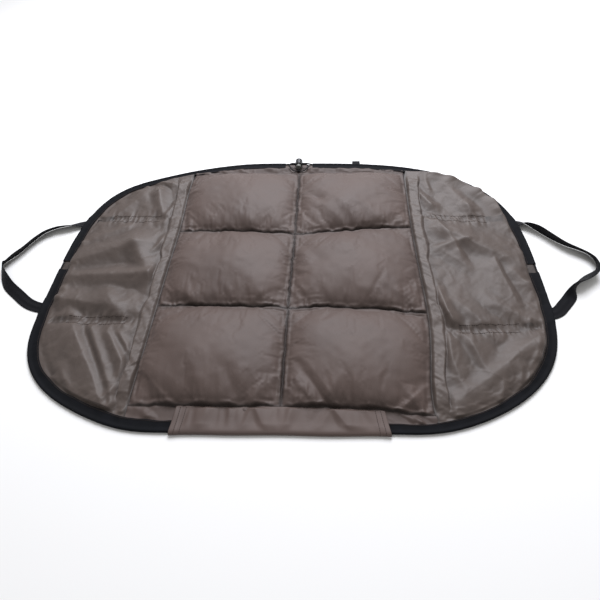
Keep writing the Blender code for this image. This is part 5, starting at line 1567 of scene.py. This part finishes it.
def add_light(name, place, aim, size, power):
    """A soft square light that looks at a point."""
    data = bpy.data.lights.new(name, "AREA")
    data.size = size
    data.energy = power
    data.color = linear("#f6f8ff")[:3]
    light = bpy.data.objects.new(name, data)
    light.location = place
    light.rotation_euler = (Vector(aim) - Vector(place)).to_track_quat("-Z", "Y").to_euler()
    bpy.context.scene.collection.objects.link(light)


def make_stage():
    """A plain pale floor, soft studio light and the photograph's camera."""
    scene = bpy.context.scene
    scene.view_settings.view_transform = "Standard"
    made, _, shader = new_material("painted_floor", Roughness=0.9)
    shader.inputs["Base Color"].default_value = linear(colours().floor)
    marks = np.linspace(-FLOOR_HALF_WIDTH, FLOOR_HALF_WIDTH, 3)
    x, y = np.meshgrid(marks, marks)
    points = np.stack([x, y, np.full_like(x, -FLOOR_DROP)], axis=-1)
    floor = make_piece("floor", points, points[..., :2], made)
    world = bpy.data.worlds.new("studio")
    world.use_nodes = True
    sky = world.node_tree.nodes["Background"].inputs
    sky["Color"].default_value = (1.0, 1.0, 1.0, 1.0)
    sky["Strength"].default_value = STUDIO_BRIGHTNESS
    scene.world = world
    add_light("back_softbox", SOFTBOX_PLACE, (0.0, 0.0, 0.0), SOFTBOX_SIZE, SOFTBOX_POWER)
    make_camera()


class MatOperator:
    """What the mat's operators share."""

    bl_options = {"REGISTER", "UNDO"}

    @classmethod
    def poll(cls, context):
        return context.scene is not None


class MAT_OT_stage(MatOperator, bpy.types.Operator):
    """Makes the floor, the lights and the camera"""

    bl_idname = "mat.stage"
    bl_label = "Stage"

    def execute(self, context):
        make_stage()
        return {"FINISHED"}


class MAT_OT_cords(MatOperator, bpy.types.Operator):
    """Makes the drawcord and its knot"""

    bl_idname = "mat.cords"
    bl_label = "Drawcord"

    def execute(self, context):
        make_cords()
        return {"FINISHED"}


class MAT_OT_ground(MatOperator, bpy.types.Operator):
    """Makes the coated ground sheet"""

    bl_idname = "mat.ground"
    bl_label = "Ground sheet"

    def execute(self, context):
        make_ground_sheets()
        return {"FINISHED"}


class MAT_OT_quilt(MatOperator, bpy.types.Operator):
    """Makes the quilted panel"""

    bl_idname = "mat.quilt"
    bl_label = "Quilted panel"

    def execute(self, context):
        make_quilt()
        return {"FINISHED"}


class MAT_OT_wings(MatOperator, bpy.types.Operator):
    """Makes the two wings' loose cloth"""

    bl_idname = "mat.wings"
    bl_label = "Wings"

    def execute(self, context):
        for side in (1, -1):
            make_wing_cloth(side)
        return {"FINISHED"}


class MAT_OT_binding(MatOperator, bpy.types.Operator):
    """Makes the edge's folded tape"""

    bl_idname = "mat.binding"
    bl_label = "Binding"

    def execute(self, context):
        make_bindings()
        return {"FINISHED"}


class MAT_OT_handles(MatOperator, bpy.types.Operator):
    """Makes the two webbing handles"""

    bl_idname = "mat.handles"
    bl_label = "Handles"

    def execute(self, context):
        for side in (1, -1):
            make_handle(side)
        return {"FINISHED"}


class MAT_OT_flap(MatOperator, bpy.types.Operator):
    """Makes the front flap"""

    bl_idname = "mat.flap"
    bl_label = "Front flap"

    def execute(self, context):
        make_flap()
        return {"FINISHED"}


class MAT_OT_fittings(MatOperator, bpy.types.Operator):
    """Makes the back loop and finishes the cord lock"""

    bl_idname = "mat.fittings"
    bl_label = "Lock and loop"

    def execute(self, context):
        make_back_loop()
        finish_lock()
        return {"FINISHED"}


OPERATORS = (
    MAT_OT_stage, MAT_OT_cords, MAT_OT_ground, MAT_OT_quilt, MAT_OT_wings, MAT_OT_binding, MAT_OT_handles,
    MAT_OT_flap, MAT_OT_fittings,
)


class MAT_PT_panel(bpy.types.Panel):
    """Lists the mat's operators and sizes in the sidebar."""

    bl_idname = "MAT_PT_panel"
    bl_label = "Unhooking mat"
    bl_space_type = "VIEW_3D"
    bl_region_type = "UI"
    bl_category = "Mat"

    def draw(self, context):
        for operator in OPERATORS:
            self.layout.operator(operator.bl_idname)
        for group in (context.scene.mat_sizes, context.scene.mat_colours):
            for name in group.__annotations__:
                self.layout.prop(group, name)


CLASSES = (MatSizes, MatColours, *OPERATORS, MAT_PT_panel)


def register():
    for cls in CLASSES:
        bpy.utils.register_class(cls)
    bpy.types.Scene.mat_sizes = PointerProperty(type=MatSizes)
    bpy.types.Scene.mat_colours = PointerProperty(type=MatColours)


def unregister():
    del bpy.types.Scene.mat_sizes, bpy.types.Scene.mat_colours
    for cls in reversed(CLASSES):
        bpy.utils.unregister_class(cls)


def main():
    register()
    bpy.ops.mat.stage()
    bpy.ops.mat.cords()
    bpy.ops.mat.ground()
    bpy.ops.mat.quilt()
    bpy.ops.mat.wings()
    bpy.ops.mat.binding()
    bpy.ops.mat.handles()
    bpy.ops.mat.flap()
    bpy.ops.mat.fittings()


if __name__ == "__main__":
    main()
